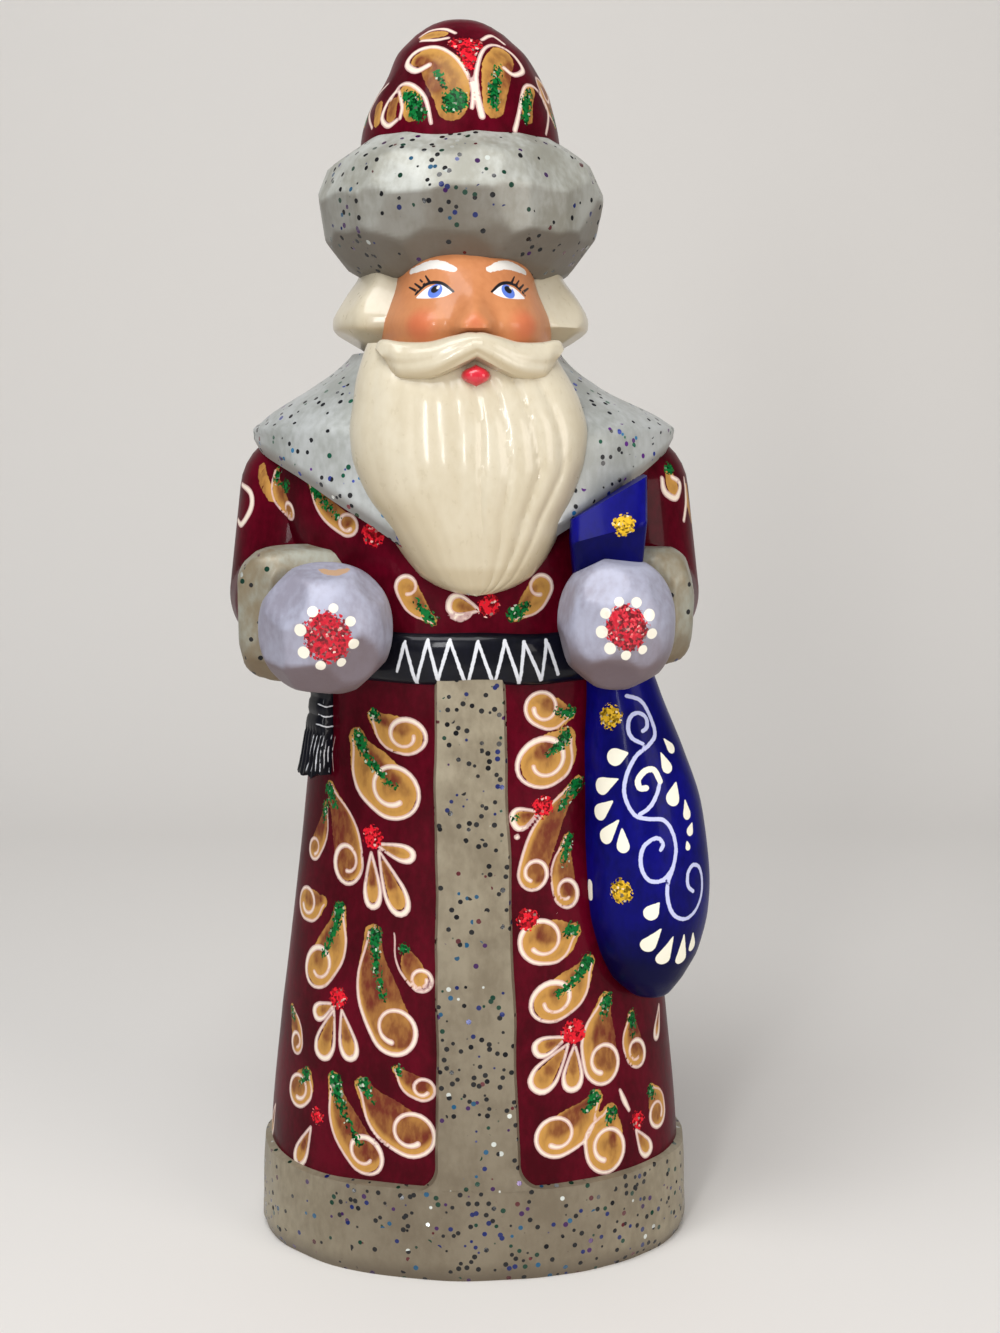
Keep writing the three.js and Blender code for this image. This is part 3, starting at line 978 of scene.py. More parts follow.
@dataclass(frozen=True)
class Head:
    """The face, the moustache, the lips and the hair, turned a little to the viewer's right."""

    offset: float = -1.8
    turn: float = math.radians(5)
    face_height: float = 138.6
    face_half: Triple = (12.7, 15.0, 19.0)
    face_forward: float = 5.8
    temples: tuple[Pair, ...] = (
        (130, 1.0), (136.2, 0.985), (139.1, 0.89), (141.2, 0.83), (143.5, 0.79), (150, 0.77),
    )
    eye_side: float = 5.1
    eye_height: float = 140.4
    nose_height: float = 136.0
    moustache_height: float = 132.6
    moustache_forward: float = 24.2
    moustache_reach: float = 11.9
    lips_forward: float = 24.4
    lips_height: float = 128.9

    def turned(self, points: Array) -> Array:
        """Takes points from the head's own frame to the figure's.

        Args:
            points: Places, one a row.

        Returns:
            The points in the figure's frame.
        """
        c, s = math.cos(self.turn), math.sin(self.turn)
        x, y, z = points[..., 0], points[..., 1], points[..., 2]
        return stack(self.offset + c * x - s * y, s * x + c * y, z)

    def features(self, x: Array, z: Array) -> Array:
        """How far the calm, plain features stand out of the oval of the face.

        Args:
            x: Places to the side.
            z: Heights.

        Returns:
            The distances.
        """
        cheeks = 2.3 * hump(np.abs(x), 6.5, 2.9) * hump(z, 135.5, 2.3)
        sockets = -1.1 * hump(np.abs(x), self.eye_side, 2.9) * hump(z, self.eye_height + 0.2, 1.7)
        lids = 0.5 * hump(np.abs(x), self.eye_side, 2.3) * hump(z, self.eye_height - 0.2, 1.2)
        brows = 0.7 * hump(np.abs(x), 5.0, 3.6) * hump(z, 144.4, 1.2)
        bridge = ease(143.0, self.nose_height, z) * ease(134.0, 135.2, z)
        ridge = hump(x, 0, 1.05 + 0.35 * ease(141, 136, z))
        nose = (0.5 + 2.9 * ease(142, self.nose_height, z)) * ridge * bridge
        wings = 1.3 * hump(np.abs(x), 1.75, 0.75) * hump(z, 135.4, 0.85)
        return cheeks + sockets + lids + brows + nose + wings

    def face(self) -> Form:
        """The face, in the head's own frame until it is turned.

        Returns:
            The form.
        """
        wide, deep, tall = self.face_half
        levels = even(126.5, 149.0, 0.36)

        def shape(angle: Array, share: Array, height: Array) -> Array:
            """Places the points of the blank."""
            ring = np.sqrt(np.clip(1 - ((height - self.face_height) / tall) ** 2, 0, 1)) * share
            slope = 1 - 0.36 * ease(140.0, 148.0, height) * ease(0, 0.6, np.cos(angle))
            narrow = through(self.temples, height)
            x = wide * narrow * ring * np.sin(angle)
            y = -self.face_forward - deep * ring * slope * np.cos(angle)
            out = self.features(x, height) * (np.cos(angle) > 0) * ease(0, 0.25, np.cos(angle))
            return self.turned(stack(x + out * 0.25 * np.sin(angle), y - out, height))

        return Form("face", Finish.SKIN, levels, 150, shape, crowd=0.6)

    def moustache(self, side: int) -> Form:
        """One half of the moustache: a full lobe with a sharp lower edge and a blunt end.

        Args:
            side: -1 for the figure's right, +1 for its left.

        Returns:
            The form.
        """
        lift = ((0, 0.1), (0.25, -0.9), (0.5, -1.9), (0.8, -1.9), (1, -1.2))
        thick = ((-0.06, 1.7), (0.1, 2.2), (0.35, 2.6), (0.6, 2.75), (0.9, 2.7), (0.97, 2.3), (1, 1.2))
        reach = self.moustache_reach - 0.4 * side

        def shape(angle: Array, share: Array, level: Array) -> Array:
            """Places the points of the blank."""
            up, out = np.sin(angle), np.cos(angle)
            tall = np.maximum(through(thick, level), 0.05)
            full = np.sign(out) * np.abs(out) ** 0.6 * (2.9 - 0.6 * ease(0.85, 1, level))
            undercut = 2.4 * np.clip(-up - 0.74, 0, 1) / 0.26
            strands = 0.14 * np.abs(np.sin(4 * up + 2.5 * level)) ** 4 * ease(0, 0.4, out)
            z = tall * up * share
            slant = 0.9 * ease(0.8, 1, level) * up
            forward = self.moustache_forward - 4.4 * np.clip(level, 0, 1) ** 2
            y = forward + (full - undercut - strands) * share
            middle = self.moustache_height + through(lift, level)
            return self.turned(stack(side * (level * reach + slant * share), -y, middle + z))

        name = "moustache_left" if side > 0 else "moustache_right"
        return Form(name, Finish.HAIR, even(-0.06, 1.0, 0.024), 64, shape)

    def lips(self) -> Form:
        """The small round mouth under the moustache.

        Returns:
            The form.
        """

        def shape(angle: Array, share: Array, level: Array) -> Array:
            """Places the points of the blank."""
            ring = np.cos(level) * share
            crease = 0.35 * hump(np.sin(angle) * ring, 0, 0.35)
            z = 1.55 * np.sin(level) * (1 - 0.25 * np.abs(np.sin(angle)))
            forward = self.lips_forward + (2.3 - crease) * ring * np.cos(angle)
            return self.turned(stack(1.95 * ring * np.sin(angle), -forward, self.lips_height + z))

        return Form("lips", Finish.LIPS, [math.radians(a) for a in even(-86, 86, 9)], 40, shape)

    def hair(self) -> Form:
        """The hair, a bob cut in big flat planes and tucked in below.

        Returns:
            The form.
        """
        radii = (
            (131.2, 11.6), (132.6, 13.9), (134.5, 17.0), (135.8, 18.5), (138, 18.4), (140.3, 17.1),
            (142.6, 15.3),
            (143.5, 14.8), (150, 14.2),
        )

        def shape(angle: Array, share: Array, height: Array) -> Array:
            """Places the points of the blank."""
            radius = through(radii, height) * share * (1 - 0.16 * ease(0.55, 0.8, np.cos(angle)))
            return self.turned(polar(radius, angle, height))

        def heart(angle: Array, share: Array, height: Array) -> Array:
            """The places that the knife works towards."""
            level = np.clip(height, 136.5, 146.0)
            inside = self.turned(polar(7, angle, level))
            return cored(share, inside, self.turned(stack(0, 0, height)))

        levels = [*even(131.2, 136.8, 0.3), *even(137.5, 145, 0.7), 150.0]
        knife = KnifeCuts(7.2, 0.2, 0.03, 12.0, 72, rows=(133.2, 139.6))
        return Form("hair", Finish.HAIR, levels, 144, shape, knife=knife, heart=heart)

    def forms(self) -> list[Form]:
        """The whole head under the hat."""
        return [self.face(), self.hair(), self.moustache(-1), self.moustache(1), self.lips()]


@dataclass(frozen=True)
class Hat:
    """The round hat: a thick fur band cut flat all over, and a soft crown."""

    offset: float = -1.8
    core_radius: float = 12.0
    core_height: float = 152.4
    band: tuple[Pair, ...] = (
        (10.0, 143.8), (13.6, 142.7), (15.9, 143.9), (18.3, 146.2), (19.8, 148.9), (20.6, 152.0),
        (20.7, 154.3),
        (19.8, 157.5), (17.6, 160.4), (14.4, 162.3), (10.0, 162.2),
    )
    crown: tuple[Pair, ...] = (
        (158, 14.5), (163, 14.2), (168.7, 12.8), (171.6, 11.3), (174.5, 9.4), (177.1, 6.6),
        (178.45, 4.6), (179.3, 2.4),
        (179.6, 0.0),
    )

    def fur_band(self) -> Form:
        """The band, a fat ring.

        Returns:
            The form.
        """
        last = len(self.band) - 1
        radii = tuple((float(i), radius) for i, (radius, _) in enumerate(self.band))
        heights = tuple((float(i), height) for i, (_, height) in enumerate(self.band))

        def shape(angle: Array, share: Array, row: Array) -> Array:
            """Places the points of the blank."""
            radius = through(radii, row) * share
            return polar(radius, angle, through(heights, row), self.offset)

        def heart(angle: Array, share: Array, row: Array) -> Array:
            """The places that the knife works towards."""
            radius = self.core_radius * share
            inside = polar(radius, angle, self.core_height + 0 * row, self.offset)
            return cored(share, inside, shape(angle, share, row))

        knife = KnifeCuts(5.7, 0.55, 0.07, 30.0, 7, rows=(1.5, 3.1, 4.75, 6.7, 8.4))
        rows = even(0, last, 0.18)
        return Form("hat_band", Finish.BAND, rows, 180, shape, crowd=0.15, knife=knife, heart=heart)

    def soft_crown(self) -> Form:
        """The crown, a dome that the knife left with broad soft planes.

        Returns:
            The form.
        """
        levels = [158.0, 159.5, *(160.5 + 19.05 * share**0.82 for share in np.linspace(0, 1, 34))]

        def shape(angle: Array, share: Array, height: Array) -> Array:
            """Places the points of the blank."""
            flattened = 1.1 * hump(angle, -math.pi / 2, 0.6) * hump(height, 170.8, 2.6)
            radius = np.maximum(through(self.crown, height) - flattened, 0.05) * share
            return polar(radius, angle, height, self.offset)

        def heart(angle: Array, share: Array, height: Array) -> Array:
            """The places that the knife works towards."""
            return stack(self.offset, 0, np.minimum(height, 163.0) + 0 * angle * share)

        knife = KnifeCuts(8.5, 0.12, 0.03, 4.0, 9)
        return Form("hat_crown", Finish.COAT, levels, 112, shape, crowd=0.2, knife=knife, heart=heart)

    def forms(self) -> list[Form]:
        """The band and the crown."""
        return [self.fur_band(), self.soft_crown()]


@dataclass
class Carving:
    """The whole figure as one carved block.

    Attributes:
        forms: The forms it is joined from, the body first.
    """

    forms: list[Form]

    def joined(self) -> bpy.types.Object:
        """Joins the forms into one closed mesh with an even shading.

        Returns:
            The object.
        """
        parts = [form.make() for form in self.forms]
        block = parts[0]
        for part in parts[1:]:
            union = block.modifiers.new(part.name, "BOOLEAN")
            union.operation = "UNION"
            union.solver = "MANIFOLD"
            union.material_mode = "TRANSFER"
            union.object = part
        view = bpy.context.evaluated_depsgraph_get()
        mesh = bpy.data.meshes.new_from_object(block.evaluated_get(view))
        mesh.name = PIECE
        for part in parts[1:]:
            bpy.data.objects.remove(part)
        block.modifiers.clear()
        block.data = mesh
        block.name = PIECE
        self.tidy(mesh)
        log.info("%s: %d forms joined, %d faces", PIECE, len(parts), len(mesh.polygons))
        return block

    @staticmethod
    def tidy(mesh: bpy.types.Mesh) -> None:
        """Splits the big faces and marks the sharp edges.

        Args:
            mesh: The joined mesh.
        """
        body = bmesh.new()
        body.from_mesh(mesh)
        bmesh.ops.triangulate(body, faces=[face for face in body.faces if len(face.verts) > 4])
        for face in body.faces:
            face.smooth = True
        for edge in body.edges:
            faces = edge.link_faces
            border = len(faces) == 2 and faces[0].material_index != faces[1].material_index
            edge.smooth = not border and edge.calc_face_angle(0.0) < CREASE
        body.to_mesh(mesh)
        body.free()


@dataclass(frozen=True)
class Viewpoint:
    """Where the photo was taken from, in millimetres, and how it maps to pixels.

    Attributes:
        place: The camera.
        pitch: How far it looks down.
        yaw: How far it is turned to the side.
        focal: The focal length in pixels.
        width: The width of the photo in pixels.
        height: The height of the photo in pixels.
        sensor: The height of the camera's sensor.
        clip: The nearest and the farthest thing that it sees, in metres.
    """

    place: Triple = (0.0, -270.0, 124.0)
    pitch: float = math.radians(7.95)
    yaw: float = math.radians(0.8356)
    focal: float = 1817.0
    width: int = 1000
    height: int = 1333
    sensor: float = 36.0
    clip: Pair = (0.01, 10.0)

    def axes(self) -> Matrix:
        """The camera's right, up and backward directions as columns."""
        lean = Matrix.Rotation(math.pi / 2 - self.pitch, 3, "X")
        return Matrix.Rotation(-self.yaw, 3, "Z") @ lean

    def ray(self, pixel: Pair) -> tuple[Vector, Vector]:
        """The line of sight through a pixel of the photo."""
        x, y = pixel[0] - self.width / 2, self.height / 2 - pixel[1]
        return Vector(self.place), (self.axes() @ Vector((x, y, -self.focal))).normalized()

    def camera(self, scale: float) -> None:
        """Puts the camera in the scene.

        Args:
            scale: From drawn millimetres to metres.
        """
        lens = bpy.data.cameras.new("camera")
        lens.sensor_width = self.sensor
        lens.lens = self.sensor * self.focal / self.height
        lens.clip_start, lens.clip_end = self.clip
        camera = shown("camera", lens)
        camera.matrix_world = Matrix.Translation(Vector(self.place) * scale) @ self.axes().to_4x4()
        bpy.context.scene.camera = camera


VIEW = Viewpoint()


@dataclass(frozen=True)
class Stroke:
    """One stroke of paint on the surface.

    Attributes:
        layer: The paint.
        line: The places the brush goes through.
        radii: Half the stroke's width at each.
        facing: The direction out of the surface under the stroke.
    """

    layer: Paint
    line: Array
    radii: Array
    facing: Array


CRISP = (Paint.WHITE, Paint.CREAM, Paint.INK)
CHART_LIFT = 7.0
CHART_DEPTH = 16.0
SETS = (0, 1)


@dataclass
class Reach:
    """How every point of the surface lies to some strokes.

    Attributes:
        gap: The distance from the edge of the paint, less than 0 under it.
        way: The way from the middle of the nearest stroke.
    """

    gap: Array
    way: Array


@dataclass
class Canvas:
    """The carved surface as something to paint on.

    The strokes of a crisp paint are dealt out over two sets, so that two that run close together
    are seldom in the same one.

    Attributes:
        mesh: The surface, in millimetres.
        strokes: What is painted on it.
        hits: The surface as something lines can meet.
    """

    mesh: bpy.types.Mesh
    strokes: list[Stroke] = field(default_factory=list)
    hits: BVHTree = field(init=False)

    def __post_init__(self) -> None:
        """Reads the surface."""
        faces = [tuple(face.vertices) for face in self.mesh.polygons]
        self.hits = BVHTree.FromPolygons(read_points(self.mesh).tolist(), faces)

    def meet(self, origin: Vector, way: Vector, length: float = 400.0) -> tuple[Array, Array] | None:
        """Where a line meets the surface and the direction out of it there."""
        place, normal, _, _ = self.hits.ray_cast(origin, way, length)
        return None if place is None else (np.array(place), np.array(normal))

    def measured(self) -> dict[str, Reach]:
        """How every point of the mesh lies to each paint, or to each set of a crisp paint.

        Returns:
            How the points lie to each, by name.
        """
        points, normals = read_points(self.mesh), read_normals(self.mesh)
        names = [layer.value for layer in Paint if layer not in CRISP]
        names += [f"{layer.value}_{number}" for layer in CRISP for number in SETS]
        found = {name: Reach(np.full(len(points), FAR), np.full((len(points), 3), FAR)) for name in names}
        dealt = dict.fromkeys(CRISP, 0)
        for stroke in self.strokes:
            name = stroke.layer.value
            if stroke.layer in CRISP:
                name = f"{name}_{dealt[stroke.layer] % len(SETS)}"
                dealt[stroke.layer] += 1
            reach = found[name]
            line, radii = stroke.line, stroke.radii
            margin = radii.max() + 1.8
            inside = (points > line.min(0) - margin) & (points < line.max(0) + margin)
            near = np.flatnonzero(inside.all(1))
            near = near[normals[near] @ stroke.facing > 0.0]
            if len(near):
                start, step = line[:-1], np.diff(line, axis=0)
                arms = points[near][:, None] - start[None]
                share = np.clip((arms * step).sum(2) / np.maximum((step**2).sum(1), 1e-9), 0, 1)
                away = arms - share[..., None] * step
                gap = np.linalg.norm(away, axis=2) - radii[:-1] - np.diff(radii) * share
                first = (np.arange(len(near)), gap.argmin(1))
                closer = gap[first] < reach.gap[near]
                reach.gap[near[closer]] = gap[first][closer]
                reach.way[near[closer]] = away[first][closer]
        return found

    def edges(self, reach: Reach) -> tuple[Array, Array, Array]:
        """What lies along the edges of the mesh.

        Args:
            reach: How the points lie to some strokes.

        Returns:
            The two ends of each edge, its length, and whether different strokes are near its ends.
        """
        ends = np.empty(2 * len(self.mesh.edges), np.int32)
        self.mesh.edges.foreach_get("vertices", ends)
        ends = ends.reshape(-1, 2)
        points = read_points(self.mesh)
        length = np.linalg.norm(np.diff(points[ends], axis=1)[:, 0], axis=1)
        apart = np.linalg.norm(np.diff((points - reach.way)[ends], axis=1)[:, 0], axis=1)
        return ends, length, (apart > 1.25 * length + 0.15) & (reach.gap[ends].max(1) < BESIDE)

    def refine(self, longest: float, between: float) -> None:
        """Splits the mesh along the edges of the crisp paints.

        Args:
            longest: The length up to which an edge of the mesh is short enough.
            between: The same where two strokes run close together.
        """
        found = self.measured()
        coarse = np.zeros(len(self.mesh.edges), bool)
        for layer in CRISP:
            for number in SETS:
                reach = found[f"{layer.value}_{number}"]
                ends, length, crossed = self.edges(reach)
                gap = np.abs(reach.gap)[ends].min(1)
                coarse |= (length > longest) & (gap < 0.45 * length)
                coarse |= (length > between) & (gap < 0.4) & crossed
        body = bmesh.new()
        body.from_mesh(self.mesh)
        split = [edge for edge in body.edges if coarse[edge.index]]
        bmesh.ops.subdivide_edges(body, edges=split, cuts=1, use_grid_fill=True)
        bmesh.ops.triangulate(body, faces=[face for face in body.faces if len(face.verts) > 4])
        body.to_mesh(self.mesh)
        body.free()

    def store(self, name: str, values: Array) -> None:
        """Stores a value or a direction for every point of the mesh.

        Args:
            name: The name to store it under.
            values: One value or direction for each point.
        """
        kind, member = ("FLOAT", "value") if values.ndim == 1 else ("FLOAT_VECTOR", "vector")
        stored = self.mesh.attributes.new(name, kind, "POINT")
        stored.data.foreach_set(member, values.astype(np.float32).ravel())

    def keep(self) -> None:
        """Stores the layers on the mesh, with the middle and the width of the crisp paints' strokes."""
        found = self.measured()
        for name, reach in found.items():
            self.store(name, reach.gap)
        for layer in CRISP:
            for number in SETS:
                name = f"{layer.value}_{number}"
                reach = found[name]
                half = np.linalg.norm(reach.way, axis=1) - reach.gap
                ends, _, crossed = self.edges(reach)
                half[ends[crossed].ravel()] = -FAR
                half[reach.gap > BESIDE] = -FAR
                self.store(f"{name}_way", reach.way)
                self.store(f"{name}_half", half)


@dataclass
class Patch:
    """A stretch of the surface with a flat chart in millimetres laid on it.

    Attributes:
        canvas: The surface.
        centre: The middle of the chart.
        normal: The direction out of the surface there.
        above: Roughly the chart's upward direction.
        pitch: Millimetres for each unit of the motifs painted here.
        pixels: Whether the motifs are given in pixels of the photo.
    """

    canvas: Canvas
    centre: Array
    normal: Array
    above: Array
    pitch: float = 1.0
    pixels: bool = False

    def __post_init__(self) -> None:
        """Squares the chart to the surface."""
        self.up = self.above - self.normal * (self.above @ self.normal)
        self.up /= np.linalg.norm(self.up)
        self.right = np.cross(self.up, self.normal)

    @classmethod
    def seen(cls, canvas: Canvas, *pixels: Pair) -> "Patch":
        """A chart for motifs given in pixels of the photo, laid where their middle is seen.

        Args:
            canvas: The surface.
            *pixels: Where they are seen.

        Returns:
            The chart.
        """
        middle = np.mean(pixels, axis=0)
        for share in (0.0, 0.3, 0.6, 1.0):
            aim = middle + share * ((500.0, middle[1]) - middle) * 0.2
            met = canvas.meet(*VIEW.ray(tuple(aim)))
            if met:
                break
        if met is None:
            raise ValueError(f"nothing is seen at {middle}")
        pitch = np.linalg.norm(met[0] - VIEW.place) / VIEW.focal
        return cls(canvas, *met, np.array(VIEW.axes().col[1]), pitch, True)

    @classmethod
    def round_about(cls, canvas: Canvas, angle: float, height: float, reach: float = 60.0) -> "Patch":
        """A chart facing away from the middle of the figure at an angle and a height.

        Args:
            canvas: The surface.
            angle: The angle.
            height: The height.
            reach: How far from the middle to look inward from.

        Returns:
            The chart.
        """
        out = np.array((math.sin(angle), -math.cos(angle), 0.0))
        met = canvas.meet(Vector(out * reach + (0, 0, height)), Vector(-out))
        return cls(canvas, met[0], met[1], np.array((0.0, 0.0, 1.0)))

    def flat(self, spot: Pair) -> Array:
        """A motif's point on the chart.

        Args:
            spot: The point.

        Returns:
            Its two coordinates, in millimetres.
        """
        if not self.pixels:
            return np.array(spot, float)
        origin, way = VIEW.ray(spot)
        met = self.canvas.meet(origin, way)
        place = met[0] if met else None
        if place is None or np.linalg.norm(place - self.centre) > CHART_DEPTH:
            facing = Vector(self.normal)
            depth = (Vector(self.centre) - origin).dot(facing) / min(way.dot(facing), -0.25)
            place = np.array(origin + way * depth)
        arm = place - self.centre
        return np.array((arm @ self.right, arm @ self.up))

    def stroke(self, layer: Paint, path: Array, radii: Array) -> None:
        """Lays a stroke along a path drawn on the chart, with half its width at each point.

        Args:
            layer: The paint.
            path: The points on the chart.
            radii: Half the width at each.
        """
        line, faces = [], []
        for u, v in path:
            origin = self.centre + self.right * u + self.up * v + self.normal * CHART_LIFT
            met = self.canvas.meet(Vector(origin), Vector(-self.normal), CHART_DEPTH)
            if met and met[1] @ self.normal > 0.1:
                line.append(met[0])
                faces.append(met[1])
            elif line:
                line.append(line[-1])
                faces.append(faces[-1])
            else:
                line.append(self.centre + self.right * u + self.up * v)
                faces.append(self.normal)
        facing = np.mean(faces, axis=0)
        whole, widths = np.array(line), np.asarray(radii, float)
        for first, last in arcs(np.asarray(path)) if layer in CRISP else [(0, len(whole))]:
            self.canvas.strokes.append(Stroke(layer, whole[first:last], widths[first:last], facing))


def arcs(path: Array, widest: float = 4.5) -> list[tuple[int, int]]:
    """Cuts a path into stretches that turn alike, none further than an angle.

    Args:
        path: The points of the path.
        widest: The angle, in radians.

    Returns:
        The first point of each stretch and the one after its last.
    """
    steps = np.diff(path, axis=0)
    bearing = np.unwrap(np.arctan2(steps[:, 1], steps[:, 0]))
    turned = np.concatenate(([0.0], np.cumsum(np.abs(np.diff(bearing)))))
    count = max(1, math.ceil(turned[-1] / widest))
    cuts = [int(np.searchsorted(turned, turned[-1] * k / count)) for k in range(1, count)]
    return list(zip([0, *cuts], [*(cut + 1 for cut in cuts), len(path)]))


def eased_line(knots: Sequence[Sequence[float]], count: int) -> Array:
    """A smooth line through knots whose numbers may include widths.

    Args:
        knots: Rows of two coordinates and any widths.
        count: How many points to give.

    Returns:
        The rows of the line.
    """
    rows = np.array(knots, float)
    run = np.concatenate(([0.0], np.cumsum(np.linalg.norm(np.diff(rows[:, :2], axis=0), axis=1) + 1e-6)))
    at = np.linspace(0, run[-1], count)
    return np.stack([through(list(zip(run, column)), at) for column in rows.T], axis=1)


@dataclass(frozen=True)
class Leaf:
    """A comma of ochre with one white stroke round it, which curls up in the round end.

    Attributes:
        tip: The thin end.
        centre: The middle of the round end.
        radius: The radius of the white curl.
        hand: +1 where the stroke runs on the left as one goes from tip to centre, -1 on the right.
        green: How far along the leaf the green glitter reaches, as a share.
        brown: How much of the leaf has a red-brown shade.
        turns: How far the white stroke turns in the round end.
        filled: Whether there is an ochre body.
    """

    tip: Pair
    centre: Pair
    radius: float
    hand: int
    green: float = 0.5
    brown: float = 0.7
    turns: float = 1.2
    filled: bool = True

    def paint(self, patch: Patch) -> None:
        """Paints the leaf on a chart.

        Args:
            patch: The chart.
        """
        tip, centre = patch.flat(self.tip), patch.flat(self.centre)
        round_end = self.radius * patch.pitch
        length = max(float(np.linalg.norm(centre - tip)), 0.1)
        along = (centre - tip) / length
        outer = self.hand * np.array((-along[1], along[0]))
        share = np.linspace(0, 1, 16)
        t = share[:, None]
        start = tip + along * 0.3 * round_end
        bend = (start + centre) / 2 + outer * 0.16 * length
        spine = (1 - t) ** 2 * start + 2 * t * (1 - t) * bend + t**2 * centre
        course = (1 - t) * (bend - start) + t * (centre - bend)
        course /= np.maximum(np.linalg.norm(course, axis=1, keepdims=True), 1e-6)
        out = self.hand * np.stack((-course[:, 1], course[:, 0]), axis=1)
        girth = round_end * (0.40 + 0.58 * ease(0, 0.7, share))
        rim = girth * (0.55 + 0.45 * ease(0, 0.4, share))
        whim = math.sin(12.9 * self.centre[0] + 78.2 * self.centre[1])
        whole = (self.turns + 0.1 * whim) * math.tau
        turn = np.linspace(0, whole, 32)[1:, None]
        shrink = round_end * 0.98 * (1 - (0.54 + 0.07 * whim) * ease(0.36, 1.0, turn / whole))
        oval = 1.0 + (0.10 + 0.08 * whim) * ease(0.0, 0.2, turn / whole)
        curl = centre + shrink * (np.cos(turn) * out[-1] + oval * np.sin(turn) * course[-1])
        stroke = np.concatenate((spine + out * rim[:, None], curl))
        load = ((0, 0.18), (0.2, 0.22), (0.45, 0.31), (0.62, 0.38), (0.85, 0.27), (1, 0.36))
        full = min(1.1, 0.55 + 0.16 * round_end)
        pressed = 1 + 0.16 * np.sin(np.linspace(2 * whim, 9 + 3 * whim, len(stroke)))
        patch.stroke(Paint.WHITE, stroke, through(load, np.linspace(0, 1, len(stroke))) * full * pressed)
        if self.filled:
            patch.stroke(Paint.OCHRE, spine, girth)
            shade = spine - out * 0.44 * girth[:, None]
            patch.stroke(Paint.BROWN, shade[1:15], girth[1:15] * (1.5 * self.brown - 0.3))
            last = max(2, round(16 * self.green))
            if self.green > 0:
                inner = spine[:last] - out[:last] * 0.22 * girth[:last, None]
                dabs = np.minimum(0.5 + 0.62 * np.linspace(1, 0, last) ** 2, girth[:last])
                patch.stroke(Paint.GREEN, inner, dabs)


@dataclass(frozen=True)
class Petal:
    """A teardrop outlined in white with a brown and ochre inside."""

    root: Pair
    end: Pair
    width: float = 16.0

    def paint(self, patch: Patch) -> None:
        """Paints the petal on a chart.

        Args:
            patch: The chart.
        """
        root, end = patch.flat(self.root), patch.flat(self.end)
        along = end - root
        side = np.array((-along[1], along[0])) / max(float(np.linalg.norm(along)), 0.1)
        half = self.width * patch.pitch * 0.6
        rows = ((0.08, 0.0, 0.26), (0.35, 0.5, 0.24), (0.7, 0.95, 0.32), (0.93, 0.7, 0.44), (1.0, 0.0, 0.46))
        there = [(*(root + along * a + side * half * b), c) for a, b, c in rows]
        back = [(*(root + along * a - side * half * b), c) for a, b, c in rows[-2::-1]]
        ring = eased_line([*there, *back], 34)
        patch.stroke(Paint.WHITE, ring[:18, :2], ring[:18, 2])
        patch.stroke(Paint.WHITE, ring[17:, :2], ring[17:, 2])
        inside = np.linspace(0.25, 0.8, 6)[:, None]
        patch.stroke(Paint.OCHRE, root + along * inside, half * inside[:, 0])
        patch.stroke(Paint.BROWN, root + along * inside[:4], half * inside[:4, 0] * 0.7)


@dataclass(frozen=True)
class Blob:
    """A dab of one paint."""

    centre: Pair
    radius: float
    layer: Paint = Paint.RED

    def paint(self, patch: Patch) -> None:
        """Paints the dab on a chart."""
        middle = patch.flat(self.centre)
        patch.stroke(self.layer, np.array((middle, middle + 0.01)), np.full(2, self.radius * patch.pitch))


@dataclass(frozen=True)
class Line:
    """A free stroke of one paint through knots of two coordinates and half a width in millimetres."""

    knots: tuple[Triple, ...]
    layer: Paint = Paint.WHITE

    def paint(self, patch: Patch) -> None:
        """Paints the stroke on a chart.

        Args:
            patch: The chart.
        """
        flat = [(*patch.flat(knot[:2]), knot[2]) for knot in self.knots]
        line = eased_line(flat, 7 * len(flat))
        patch.stroke(self.layer, line[:, :2], line[:, 2])


Motif = Leaf | Petal | Blob | Line


def paint_seen(canvas: Canvas, motifs: Sequence[Motif]) -> None:
    """Paints motifs given in pixels of the photo, each on a chart of its own.

    Args:
        canvas: The surface.
        motifs: The motifs.
    """
    for motif in motifs:
        if isinstance(motif, Line):
            pixels = [knot[:2] for knot in motif.knots]
        elif isinstance(motif, Blob):
            pixels = [motif.centre]
        elif isinstance(motif, Petal):
            pixels = [motif.root, motif.end]
        else:
            pixels = [motif.tip, motif.centre]
        motif.paint(Patch.seen(canvas, *pixels))


